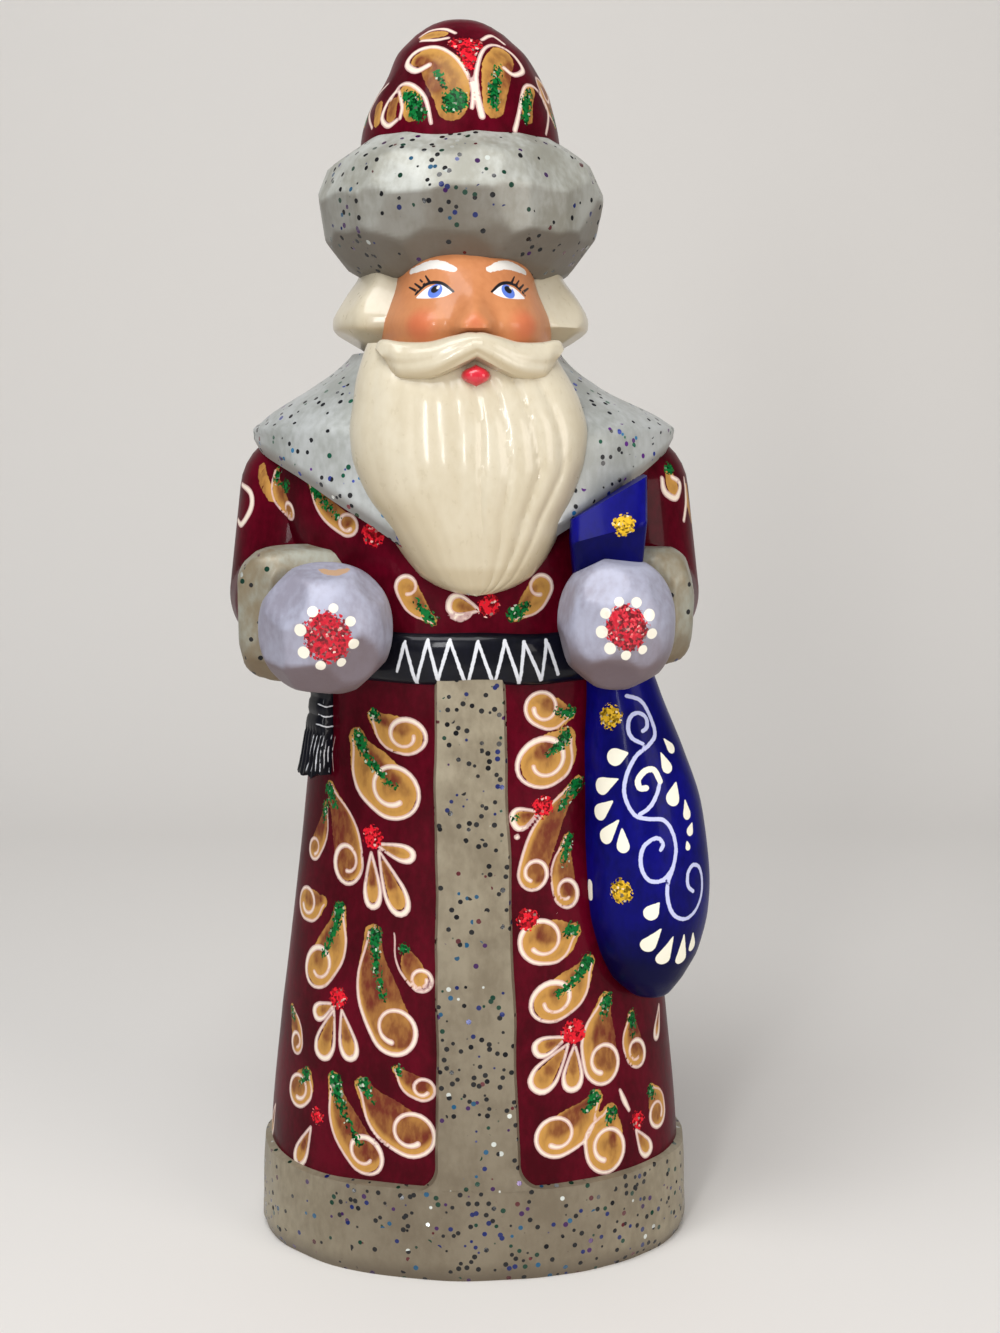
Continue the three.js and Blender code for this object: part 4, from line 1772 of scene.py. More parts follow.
@dataclass(frozen=True)
class FrontPanels:
    """The leaves, petals and red flowers on the two front panels of the coat."""

    left: tuple[Motif, ...] = (
        Leaf((369, 712), (406, 737), 18, -1, 0.2, 0.4),
        Leaf((353, 731), (392, 792), 27, -1, 1.0, 0.35),
        Leaf((329, 782), (348, 863), 18, 1, 0.3, 1.0),
        Leaf((327, 803), (315, 848), 11, 1, 0.3),
        Leaf((326, 901), (307, 903), 16, 1, 0.0, 0.5),
        Leaf((342, 904), (319, 967), 20, 1, 0.8, 0.4),
        Leaf((372, 926), (393, 1031), 23.5, -1, 0.7, 1.0),
        Line(((407, 954, 0.7), (411, 966, 1.5), (417, 978, 1.6)), Paint.OCHRE),
        Line(((408, 956, 0.7), (412, 968, 1.3)), Paint.BROWN),
        Leaf((395, 930), (421, 981), 11, -1, 0.0, turns=1.5, filled=False),
        Blob((404, 949), 5.5, Paint.GREEN),
        Leaf((394, 1067), (423, 1090), 11, -1, 0.2),
        Leaf((358, 1080), (411, 1135), 22, -1, 0.3, 0.9),
        Leaf((332, 1073), (364, 1155), 18, -1, 0.9, 0.8),
        Leaf((309, 1070), (299, 1090), 16, 1, 0.7),
        Leaf((292, 1004), (297, 1042), 10, 1, 0.4),
        Petal((373, 843), (413, 857), 13),
        Petal((377, 846), (403, 914), 19),
        Petal((371, 848), (373, 907), 15),
        Blob((373, 837), 11.5),
        Petal((336, 1003), (315, 1014), 13),
        Petal((335, 1006), (321, 1057), 20),
        Petal((341, 1006), (351, 1059), 16),
        Blob((338, 998), 11),
        Petal((312, 1124), (296, 1163), 14),
        Blob((317, 1116), 8),
        Petal((276, 1102), (272, 1131), 12),
    )
    right: tuple[Motif, ...] = (
        Leaf((574, 714), (542, 709), 17, 1, 0.5, 0.4),
        Leaf((572, 731), (544, 763), 25, 1, 0.8, 0.4),
        Leaf((580, 777), (533, 874), 15, -1, 0.4, 0.85),
        Leaf((568, 834), (566, 893), 13, -1, 0.5),
        Leaf((579, 929), (542, 942), 22, 1, 0.3, 0.5),
        Leaf((592, 957), (553, 1002), 20, 1, 0.9, 0.3),
        Leaf((606, 993), (602, 1063), 20, -1, 0.3),
        Leaf((631, 1011), (636, 1053), 13, -1, 0.5),
        Leaf((600, 1093), (557, 1137), 20, 1, 0.4, 0.5),
        Leaf((611, 1105), (606, 1149), 22, -1, 0.3, 0.3),
        Leaf((650, 1085), (658, 1112), 14, 1, 0.3),
        Line(((620, 1090, 0.25), (624, 1100, 0.45), (629, 1110, 0.3))),
        Petal((659, 1002), (656, 1038), 8),
        Petal((540, 811), (513, 822), 18),
        Blob((516, 818), 4.0, Paint.GREEN),
        Blob((517, 837), 3.0, Paint.WHITE),
        Blob((543, 807), 11),
        Blob((528, 919), 11),
        Petal((569, 1036), (535, 1051), 15),
        Petal((571, 1040), (535, 1090), 22),
        Petal((575, 1041), (572, 1090), 17),
        Blob((574, 1032), 13),
        Petal((635, 1128), (649, 1153), 13),
        Blob((638, 1120), 9),
    )


@dataclass(frozen=True)
class UpperMotifs:
    """What is painted on the chest, the shoulders and the crown of the hat."""

    chest: tuple[Motif, ...] = (
        Leaf((300, 476), (347, 525), 11, -1, 0.8),
        Leaf((277, 468), (289, 511), 8, -1, 0.3),
        Line(((262, 466, 0.6), (264, 482, 0.9), (272, 498, 0.6)), Paint.OCHRE),
        Line(((240, 484, 0.35), (250, 492, 0.5), (251, 508, 0.55), (242, 524, 0.5), (238, 520, 0.4))),
        Blob((286, 486), 7, Paint.GREEN),
        Blob((373, 535), 12),
        Leaf((436, 624), (407, 588), 12, 1, 0.6, 0.4, turns=0.9),
        Petal((482, 611), (449, 603), 17),
        Line(((449, 616, 0.2), (460, 620, 0.3), (470, 616, 0.2))),
        Blob((488, 606), 11),
        Leaf((511, 620), (540, 588), 13, -1, 0.5, 0.3, turns=0.9),
        Blob((515, 613), 8, Paint.GREEN),
        Line(((668, 470, 0.6), (672, 484, 1.1), (677, 494, 0.7)), Paint.OCHRE),
        Line(((662, 478, 0.35), (665, 492, 0.5), (676, 498, 0.5), (680, 484, 0.45), (672, 477, 0.35))),
        Blob((669, 469), 6.5, Paint.GREEN),
        Line(((686, 486, 0.5), (691, 504, 0.8), (696, 520, 0.6)), Paint.OCHRE),
        Line(((684, 478, 0.3), (686, 500, 0.45), (684, 520, 0.4))),
    )
    crown: tuple[Motif, ...] = (
        Line((
            (452, 106, 2.1), (450, 88, 2.7), (443, 70, 2.9), (430, 58, 1.9), (417, 60, 1.0),
        ), Paint.OCHRE),
        Line(((436, 84, 1.2), (430, 70, 1.3), (420, 62, 0.9)), Paint.BROWN),
        Line((
            (472, 108, 0.3), (473, 92, 0.34), (468, 75, 0.3), (454, 56, 0.28), (436, 47, 0.32),
            (416, 52, 0.4), (407, 64, 0.5), (416, 71, 0.5), (429, 65, 0.42),
        )),
        Line(((494, 108, 1.5), (495, 90, 1.9), (497, 70, 2.2), (502, 58, 1.9)), Paint.OCHRE),
        Line(((508, 84, 0.7), (510, 68, 0.9)), Paint.BROWN),
        Line((
            (482, 116, 0.5), (478, 98, 0.46), (476, 76, 0.36), (482, 52, 0.28), (494, 45, 0.26),
            (512, 54, 0.3), (523, 70, 0.42), (514, 75, 0.36), (504, 68, 0.34),
        )),
        Line(((412, 112, 1.4), (410, 98, 1.7), (404, 92, 1.2)), Paint.OCHRE),
        Line(((391, 116, 0.9), (393, 104, 1.0)), Paint.OCHRE),
        Line(((391, 116, 0.8), (393, 104, 0.9)), Paint.BROWN),
        Line((
            (400, 118, 0.3), (402, 105, 0.3), (398, 91, 0.3), (388, 102, 0.36), (382, 118, 0.42),
            (388, 126, 0.4), (397, 120, 0.3),
        )),
        Line(((391, 100, 0.24), (400, 86, 0.3), (412, 85, 0.34), (425, 98, 0.32), (431, 123, 0.28))),
        Line(((528, 118, 0.9), (527, 100, 1.2), (531, 91, 0.9)), Paint.OCHRE),
        Line((
            (515, 130, 0.42), (520, 108, 0.34), (524, 88, 0.28), (532, 86, 0.26), (541, 96, 0.28),
            (548, 112, 0.34), (546, 134, 0.26),
        )),
        Blob((455, 101), 12.5, Paint.GREEN),
        Line(((444, 86, 0.4), (438, 72, 0.6)), Paint.GREEN),
        Line(((494, 104, 0.9), (494, 90, 0.8), (499, 66, 0.4)), Paint.GREEN),
        Line(((418, 114, 1.2), (412, 100, 1.1), (405, 94, 0.7)), Paint.GREEN),
        Line(((526, 120, 0.7), (526, 104, 0.9), (530, 92, 0.5)), Paint.GREEN),
        Line(((456, 43, 1.1), (466, 44, 1.5), (474, 44, 1.1)), Paint.RED),
        Line(((467, 50, 1.4), (469, 66, 0.7)), Paint.RED),
        Line(((448, 38, 0.3), (436, 40, 0.36), (421, 41, 0.3))),
        Line(((455, 33, 0.3), (444, 29, 0.34), (430, 31, 0.3), (420, 37, 0.26))),
        Line(((424, 37, 0.7), (434, 35, 0.9), (444, 34, 0.6)), Paint.OCHRE),
        Line(((482, 40, 0.3), (492, 36, 0.34), (504, 44, 0.3))),
        Line(((372, 128, 0.26), (370, 112, 0.34), (378, 96, 0.34), (388, 84, 0.26))),
        Line(((377, 122, 0.8), (379, 106, 0.8)), Paint.OCHRE),
    )


@dataclass(frozen=True)
class SackMotifs:
    """The vine, the fans of drops and the gold flowers on the sack."""

    vines: tuple[tuple[Pair, ...], ...] = (
        (
            (635, 696), (648, 701), (656, 716), (655, 734), (648, 746), (637, 755), (628, 771),
            (624, 790), (628, 805),
            (636, 816), (648, 819), (663, 820), (672, 831), (676, 849), (673, 868), (668, 883),
            (668, 901), (674, 915),
            (685, 919), (695, 911), (701, 896), (702, 879), (699, 867), (693, 865), (688, 873),
            (688, 886), (693, 891),
        ),
        ((643, 744), (632, 738), (628, 727), (631, 716), (639, 713), (646, 718), (647, 727), (643, 731)),
        ((639, 815), (650, 807), (657, 794), (660, 781)),
        (
            (673, 868), (663, 880), (650, 881), (642, 870), (641, 855), (646, 844), (657, 838), (663, 844),
            (661, 850),
        ),
    )
    swash: tuple[Pair, ...] = ((660, 781), (654, 770), (645, 771), (638, 780), (640, 788), (646, 788))
    drops: tuple[tuple[Pair, Pair, float], ...] = (
        ((628, 753), (615, 757), 1.25), ((618, 779), (602, 786), 1.25), ((613, 801), (600, 812), 1.2),
        ((619, 820), (606, 836), 1.15), ((622, 828), (623, 846), 1.0), ((664, 739), (671, 748), 0.8),
        ((661, 753), (667, 767), 0.9), ((676, 782), (673, 798), 1.15), ((685, 800), (687, 814), 0.8),
        ((692, 823), (690, 831), 0.7), ((687, 841), (688, 847), 0.5), ((659, 903), (651, 913), 1.1),
        ((661, 929), (648, 945), 1.15), ((673, 937), (663, 958), 1.1), ((684, 935), (681, 958), 1.0),
        ((693, 933), (692, 946), 0.8),
    )

    flowers: tuple[tuple[Pair, float], ...] = (((610, 717), 12), ((621, 891), 12), ((624, 525), 11))

    def motifs(self) -> list[Motif]:
        """All of it.

        Returns:
            The motifs.
        """
        made: list[Motif] = [Line(tuple((x, y, 0.28) for x, y in vine)) for vine in self.vines]
        made.append(Line(tuple((x, y, 0.42) for x, y in self.swash), Paint.CREAM))
        for thin, thick, radius in self.drops:
            made.append(Line(((*thin, 0.1), (*thick, radius)), Paint.CREAM))
        made.append(Line(((590, 884, 0.7), (590, 895, 0.8)), Paint.CREAM))
        return made + [Blob(spot, radius, Paint.GOLD) for spot, radius in self.flowers]


@dataclass(frozen=True)
class HandMotifs:
    """The flower on each mitten, the zigzag on the belt and the threads of the sash."""

    mittens: tuple[tuple[Pair, float, int], ...] = (((327, 637), 27.5, 8), ((627, 628), 25.5, 9))
    peaks: tuple[Pair, ...] = (
        (397, 672), (405, 642), (417, 683), (428, 640), (438, 680), (450, 640), (467, 688), (478, 642),
        (494, 686),
        (505, 641), (519, 683), (524, 642), (541, 680), (546, 640), (558, 674),
    )

    def motifs(self) -> list[Motif]:
        """All of it.

        Returns:
            The motifs.
        """
        made: list[Motif] = []
        for (x, y), away, count in self.mittens:
            made.append(Blob((x, y), away * 0.86))
            made += [Blob((x + 3 * k, y + 6 * k), away * 0.72) for k in (-1, 1)]
            for k in range(count):
                turn = math.tau * (k + 0.3) / count
                spot = (x + away * math.cos(turn), y + away * 1.08 * math.sin(turn))
                made.append(Blob(spot, 5.6 + 0.8 * math.sin(5 * k), Paint.CREAM))
        made.append(Line(((322, 570, 0.5), (334, 573, 1.0), (346, 570, 0.6)), Paint.OCHRE))
        for first, last in zip(self.peaks, self.peaks[1:]):
            made.append(Line(((*first, 0.2), (*last, 0.27))))
        for k, y in enumerate((704, 714, 724)):
            made.append(Line(((318 - k, y, 0.07), (326, y + 3, 0.1), (334, y + 2, 0.07))))
        for k in range(7):
            x = 311 + 3.6 * k
            made.append(Line(((x + 3, 735, 0.05), (x - 1, 752, 0.08), (x - 5 + k, 772, 0.05))))
        return made


@dataclass(frozen=True)
class FaceMotifs:
    """A simple doll's face: almond eyes with lashes, white brows and rosy cheeks."""

    side: float = 5.0
    height: float = 140.3

    def motifs(self) -> list[Motif]:
        """All of it, in millimetres from the middle of the face at the height of the eyes.

        Returns:
            The motifs.
        """
        made: list[Motif] = []
        for hand in (-1, 1):
            x = hand * self.side

            eyeball = ((-2.1, -0.2, 0.15), (-0.8, 0.0, 0.95), (0.7, -0.1, 1.0), (2.3, -0.7, 0.2))
            lid = ((-2.4, -0.1, 0.16), (-0.9, 1.1, 0.24), (0.9, 1.1, 0.28), (2.5, -0.3, 0.2))

            def curve(knots: Sequence[Triple], layer: Paint) -> Line:
                """A stroke given outward from the middle of the eye."""
                return Line(tuple((x + hand * out, up, half) for out, up, half in knots), layer)

            made += [
                curve(eyeball, Paint.CREAM),
                Blob((x, 0.05), 1.12, Paint.IRIS),
                Blob((x, 0.3), 0.6, Paint.INK),
                curve(lid, Paint.INK),
                # A small white dot in each eye is a painted highlight.
                Blob((x + 0.45, 0.55), 0.27, Paint.WHITE),
                curve(((-2.6, 3.0, 0.45), (0.0, 3.8, 0.75), (2.9, 3.0, 0.4)), Paint.WHITE),
                Blob((hand * 7.4, -4.6), 2.4, Paint.BLUSH),
            ]
            for k in range(4):
                root = (x + hand * (0.6 + 0.6 * k), 1.25 - 0.35 * k, 0.2)
                end = (root[0] + hand * (0.5 + 0.12 * k), root[1] + 0.95 - 0.12 * k, 0.12)
                made.append(Line((root, end), Paint.INK))
        made.append(Blob((0.0, -4.4), 1.2, Paint.BLUSH))
        return made


@dataclass(frozen=True)
class PlainSides:
    """The leaves on the sides and the back, painted by one simple rule."""

    rows: tuple[float, ...] = (25.0, 42.0, 59.0, 76.0)
    columns: int = 6
    first: float = math.radians(98)
    last: float = math.radians(262)
    petal: float = 6.4
    sleeve_angles: tuple[int, ...] = (-98, -122, 98, 122)
    sleeve_heights: Pair = (101, 112)
    crown_height: float = 167.5

    def paint(self, canvas: Canvas) -> None:
        """Paints the back of the coat, the sleeves, the shoulders and the crown.

        Args:
            canvas: The surface.
        """
        for j, height in enumerate(self.rows):
            for i in range(self.columns):
                share = (i + 0.5 * (j % 2)) / (self.columns - 0.5)
                patch = Patch.round_about(canvas, self.first + (self.last - self.first) * share, height)
                hand = 1 if (i + j) % 2 else -1
                if (i + 2 * j) % 5 == 3:
                    for tilt in (-0.5, 0.1, 0.7):
                        end = (self.petal * math.sin(tilt), -self.petal * math.cos(tilt))
                        Petal((0.9 * math.sin(tilt), -0.9 * math.cos(tilt)), end, 2.6).paint(patch)
                    Blob((0, 0), 1.6).paint(patch)
                else:
                    Leaf((-2.4 * hand, 6.6), (1.2 * hand, -2.4), 2.9, hand, 0.6).paint(patch)
        for angle in self.sleeve_angles:
            for height in self.sleeve_heights:
                patch = Patch.round_about(canvas, math.radians(angle), height)
                Leaf((-1.5, 4.0), (0.8, -1.8), 1.9, 1, 0.5).paint(patch)
        for angle in range(70, 300, 23):
            patch = Patch.round_about(canvas, math.radians(angle), self.crown_height)
            Leaf((1.0, -3.4), (-0.4, 1.6), 1.9, 1, 0.4, turns=1.0).paint(patch)


def all_forms() -> list[Form]:
    """Every form of the figure, the body first.

    Returns:
        The forms.
    """
    makers = [
        COAT, FurTrim(), Belt(), Collar(),
        Arm(-1, Joint(22.6, 13, 95.7, 9.6), 10.2, (-20.3, -22.0, 94.7), (9.2, 8.2, 9.1)),
        Arm(1, Joint(23.6, 13, 96.7, 9.6), 9.4, (19.6, -22.0, 95.4), (8.1, 8.2, 9.2)),
        Sack(), Beard(), Head(), Hat(),
    ]
    return [form for maker in makers for form in maker.forms()]


Colour = tuple[int, int, int]
WHITE_LIGHT: Colour = (255, 255, 255)


class Pigment(Enum):
    """The colours that motifs are painted in."""

    DARK_OCHRE = (146, 102, 54)
    OCHRE = (188, 136, 70)
    BRIGHT_OCHRE = (202, 152, 78)
    RED_BROWN = (108, 46, 34)
    THIN_WHITE = (224, 190, 184)
    THICK_WHITE = (238, 224, 206)
    PALE_BLUE = (196, 200, 236)
    CREAM = (244, 240, 222)
    COLD_WHITE = (214, 216, 222)
    TAN = (196, 160, 128)
    PEARL = (240, 234, 218)
    ROSE = (212, 102, 70)
    EYEBALL = (236, 234, 236)
    EYE_BLUE = (92, 124, 214)
    LASH = (22, 20, 26)
    BROW = (226, 222, 216)
Value = bpy.types.NodeSocket | float | tuple[float, ...]


def tone(colour: Colour | Pigment) -> tuple[float, float, float, float]:
    """A colour as the shaders want it.

    Args:
        colour: Its screen values from 0 to 255, or a pigment.

    Returns:
        Its linear values, and full cover.
    """
    shares = [value / 255 for value in (colour.value if isinstance(colour, Pigment) else colour)]
    return (*(c / 12.92 if c <= 0.04045 else ((c + 0.055) / 1.055) ** 2.4 for c in shares), 1.0)


@dataclass
class Nodes:
    """Lays out the nodes of one shader tree."""

    tree: bpy.types.NodeTree

    def add(self, kind: str, inputs: dict[str | int, Value], **settings: str | bool) -> bpy.types.Node:
        """Adds a node with its settings and feeds its inputs.

        Args:
            kind: The type of node.
            inputs: What its inputs are fed, by name or number.
            **settings: The node's settings.

        Returns:
            The node.
        """
        node = self.tree.nodes.new(kind)
        for name, value in settings.items():
            setattr(node, name, value)
        self.feed(node, inputs)
        return node

    def feed(self, node: bpy.types.Node, inputs: dict[str | int, Value]) -> None:
        """Links or sets the inputs of a node.

        Args:
            node: The node.
            inputs: What its inputs are fed, by name or number.
        """
        for name, value in inputs.items():
            if isinstance(value, bpy.types.NodeSocket):
                self.tree.links.new(value, node.inputs[name])
            else:
                node.inputs[name].default_value = value

    def group(self, tree: bpy.types.NodeTree) -> bpy.types.Node:
        """Adds a shared group."""
        return self.add("ShaderNodeGroup", {}, node_tree=tree)

    def times(self, first: Value, second: Value) -> bpy.types.NodeSocket:
        """One number times another."""
        return self.math("MULTIPLY", first, second)

    def math(self, operation: str, *values: Value) -> bpy.types.NodeSocket:
        """A number worked out from numbers."""
        return self.add("ShaderNodeMath", dict(enumerate(values)), operation=operation).outputs[0]

    def vector(self, operation: str, *values: Value) -> bpy.types.NodeSocket:
        """A vector worked out from vectors."""
        return self.add("ShaderNodeVectorMath", dict(enumerate(values)), operation=operation).outputs[0]

    def scaled(self, vector: Value, by: Value) -> bpy.types.NodeSocket:
        """A vector made longer or shorter."""
        return self.add("ShaderNodeVectorMath", {0: vector, "Scale": by}, operation="SCALE").outputs[0]

    def mix(self, share: Value, first: Value, second: Value) -> bpy.types.NodeSocket:
        """A colour between two colours."""
        return self.add("ShaderNodeMix", {0: share, 6: first, 7: second}, data_type="RGBA").outputs[2]

    def step(self, value: Value, low: float, high: float) -> bpy.types.NodeSocket:
        """Runs smoothly from 0 at low to 1 at high; low may be the larger."""
        feeds = {0: value, 1: low, 2: high, 3: 0.0, 4: 1.0}
        return self.add("ShaderNodeMapRange", feeds, interpolation_type="SMOOTHSTEP").outputs[0]

    def noise(self, place: Value, size: float, detail: float = 3.0) -> bpy.types.NodeSocket:
        """Soft noise with features of a size in millimetres."""
        feeds = {"Vector": place, "Scale": 1 / size, "Detail": detail}
        return self.add("ShaderNodeTexNoise", feeds).outputs[0]

    def stroke_edge(self, paint: Paint) -> bpy.types.NodeSocket:
        """The distance from the edge of a thin stroke, true also between points on both sides of it.

        Args:
            paint: The paint.

        Returns:
            The socket that gives it.
        """
        edge = self.layer(paint)
        for number in SETS:
            name = f"{paint.value}_{number}"
            way = self.stored(f"{name}_way", "Vector")
            reach = self.add("ShaderNodeVectorMath", {0: way}, operation="LENGTH")
            away = self.math("SUBTRACT", reach.outputs["Value"], self.stored(f"{name}_half"))
            edge = self.math("MINIMUM", edge, away)
        return edge

    def stored(self, name: str, kind: str = "Fac") -> bpy.types.NodeSocket:
        """A value or a direction stored on the mesh."""
        return self.add("ShaderNodeAttribute", {}, attribute_name=name).outputs[kind]

    def layer(self, paint: Paint) -> bpy.types.NodeSocket:
        """The distance from the edge of a layer of paint.

        Args:
            paint: The paint.

        Returns:
            The socket that gives it.
        """
        if paint in CRISP:
            return self.math("MINIMUM", *(self.stored(f"{paint.value}_{number}") for number in SETS))
        return self.stored(paint.value)


@dataclass
class Effects:
    """The effects that the finishes share, each a group of nodes.

    Attributes:
        to_drawn: From metres to the millimetres of the drawing.
        flake_tones: The colours of the loose flakes, each with the share of flakes below it.
        grain_size: The size of a grain of packed glitter.
        flake_size: The distance between loose flakes.
        brushed: Paint brushed in two tones.
        grains: Packed glitter.
        flakes: Loose flakes.
        ragged: The edge of a layer of paint.
    """

    to_drawn: float
    flake_tones: tuple[tuple[float, Colour], ...] = (
        (0.50, (20, 34, 96)), (0.64, (12, 58, 42)), (0.78, (62, 24, 84)), (0.86, (30, 86, 120)),
        (0.93, (92, 34, 40)), (0.97, (214, 220, 214)),
    )
    grain_size: float = 0.34
    flake_size: float = 1.25
    brushed: bpy.types.NodeTree = field(init=False)
    grains: bpy.types.NodeTree = field(init=False)
    flakes: bpy.types.NodeTree = field(init=False)
    ragged: bpy.types.NodeTree = field(init=False)

    def __post_init__(self) -> None:
        """Builds the groups."""
        self.brushed = self.build_brushed()
        self.grains = self.build_grains()
        self.flakes = self.build_flakes()
        self.ragged = self.build_ragged()

    def place(self, nodes: Nodes) -> bpy.types.NodeSocket:
        """The place on the figure in drawn millimetres."""
        return nodes.scaled(nodes.add("ShaderNodeTexCoord", {}).outputs["Object"], self.to_drawn)

    @staticmethod
    def start(
        name: str, takes: dict[str, str], gives: dict[str, str]
    ) -> tuple[Nodes, bpy.types.Node, bpy.types.Node]:
        """Starts a group with named sockets.

        Args:
            name: What it is called.
            takes: The inputs and their types.
            gives: The outputs and their types.

        Returns:
            The tree, the node of its inputs and that of its outputs.
        """
        tree = bpy.data.node_groups.new(name, "ShaderNodeTree")
        for socket, kind in takes.items():
            tree.interface.new_socket(socket, in_out="INPUT", socket_type=kind)
        for socket, kind in gives.items():
            tree.interface.new_socket(socket, in_out="OUTPUT", socket_type=kind)
        return Nodes(tree), tree.nodes.new("NodeGroupInput"), tree.nodes.new("NodeGroupOutput")

    def build_brushed(self) -> bpy.types.NodeTree:
        """Two tones brushed into each other, and the unevenness of the brush.

        Returns:
            The group.
        """
        nodes, takes, gives = self.start(
            "brushed_paint",
            {"Light": "NodeSocketColor", "Dark": "NodeSocketColor", "Stretch": "NodeSocketVector"},
            {"Color": "NodeSocketColor", "Unevenness": "NodeSocketFloat"},
        )
        drawn = nodes.vector("MULTIPLY", self.place(nodes), takes.outputs["Stretch"])
        broad = nodes.noise(drawn, 7.0, 4.0)
        fine = nodes.noise(drawn, 0.9, 3.0)
        share = nodes.math("ADD", nodes.times(broad, 0.75), nodes.times(fine, 0.35))
        colour = nodes.mix(nodes.step(share, 0.38, 0.72), takes.outputs["Dark"], takes.outputs["Light"])
        nodes.feed(gives, {"Color": colour, "Unevenness": fine})
        return nodes.tree

    def tilted(self, nodes: Nodes, random: Value, amount: Value) -> bpy.types.NodeSocket:
        """The normal of the surface leaned a random way.

        Args:
            nodes: The tree.
            random: A random colour.
            amount: How far to lean.

        Returns:
            The socket that gives it.
        """
        lean = nodes.scaled(nodes.vector("SUBTRACT", random, (0.5, 0.5, 0.5)), amount)
        normal = nodes.add("ShaderNodeNewGeometry", {}).outputs["Normal"]
        return nodes.vector("NORMALIZE", nodes.vector("ADD", normal, lean))

    def build_grains(self) -> bpy.types.NodeTree:
        """Glitter sprinkled in wet paint, thinning out at its edge: each grain has its own lean, and a few
        grains carry a painted glint and others painted shade.

        Returns:
            The group.
        """
        nodes, takes, gives = self.start(
            "packed_glitter",
            {"Tint": "NodeSocketColor", "Distance": "NodeSocketFloat", "Spread": "NodeSocketFloat"},
            {"Mask": "NodeSocketFloat", "Color": "NodeSocketColor", "Normal": "NodeSocketVector"},
        )
        feeds = {"Vector": self.place(nodes), "Scale": 1 / self.grain_size}
        cells = nodes.add("ShaderNodeTexVoronoi", feeds)
        pick = nodes.add("ShaderNodeSeparateColor", {0: cells.outputs["Color"]})
        red, green, blue = pick.outputs
        # Painted glint on a few grains, lightened towards white, and painted shade on others, darkened
        # towards black.
        lit = nodes.times(nodes.step(green, 0.90, 0.99), 0.55)
        shine = nodes.mix(lit, takes.outputs["Tint"], (1.0, 1.0, 0.86, 1.0))
        shadow = nodes.times(nodes.step(red, 0.7, 0.1), 0.8)
        shade = nodes.mix(shadow, shine, (0.0, 0.0, 0.0, 1.0))
        luck = nodes.math("SUBTRACT", blue, 0.45)
        gap = nodes.math("MULTIPLY_ADD", luck, takes.outputs["Spread"], takes.outputs["Distance"])
        mask = nodes.step(gap, 0.03, -0.03)
        leaned = self.tilted(nodes, cells.outputs["Color"], nodes.times(mask, 0.4))
        nodes.feed(gives, {"Mask": mask, "Color": shade, "Normal": leaned})
        return nodes.tree

    def build_flakes(self) -> bpy.types.NodeTree:
        """Loose flakes of dark and coloured glitter strewn over the fur.

        Returns:
            The group.
        """
        nodes, takes, gives = self.start(
            "loose_flakes",
            {"Density": "NodeSocketFloat", "Brightness": "NodeSocketFloat"},
            {"Mask": "NodeSocketFloat", "Color": "NodeSocketColor", "Normal": "NodeSocketVector"},
        )
        drawn = self.place(nodes)
        cells = nodes.add("ShaderNodeTexVoronoi", {"Vector": drawn, "Scale": 1 / self.flake_size})
        pick = nodes.add("ShaderNodeSeparateColor", {0: cells.outputs["Color"]})
        crowd = nodes.step(nodes.noise(drawn, 9.0, 1.0), 0.36, 0.64)
        crowding = nodes.math("ADD", nodes.times(crowd, 1.3), 0.25)
        chance = nodes.times(takes.outputs["Density"], crowding)
        chosen = nodes.math("LESS_THAN", pick.outputs[0], chance)
        near = nodes.step(nodes.times(cells.outputs["Distance"], self.flake_size), 0.41, 0.34)
        mask = nodes.times(chosen, near)
        colour: Value = tone((16, 17, 20))
        for low, flake in self.flake_tones:
            colour = nodes.mix(nodes.math("GREATER_THAN", pick.outputs[1], low), colour, tone(flake))
        feeds = {"Color": colour, "Value": takes.outputs["Brightness"]}
        bright = nodes.add("ShaderNodeHueSaturation", feeds).outputs[0]
        leaned = self.tilted(nodes, cells.outputs["Color"], nodes.times(mask, 0.7))
        nodes.feed(gives, {"Mask": mask, "Color": bright, "Normal": leaned})
        return nodes.tree

    def build_ragged(self) -> bpy.types.NodeTree:
        """Where a layer of paint lies, with an edge as clean or as ragged as wished.

        Returns:
            The group.
        """
        nodes, takes, gives = self.start(
            "paint_edge",
            {"Distance": "NodeSocketFloat", "Raggedness": "NodeSocketFloat"},
            {"Mask": "NodeSocketFloat"},
        )
        rough = nodes.math("SUBTRACT", nodes.noise(self.place(nodes), 0.55, 2.0), 0.5)
        ragged = nodes.times(rough, takes.outputs["Raggedness"])
        gap = nodes.math("ADD", takes.outputs["Distance"], ragged)
        nodes.feed(gives, {"Mask": nodes.step(gap, 0.05, -0.05)})
        return nodes.tree


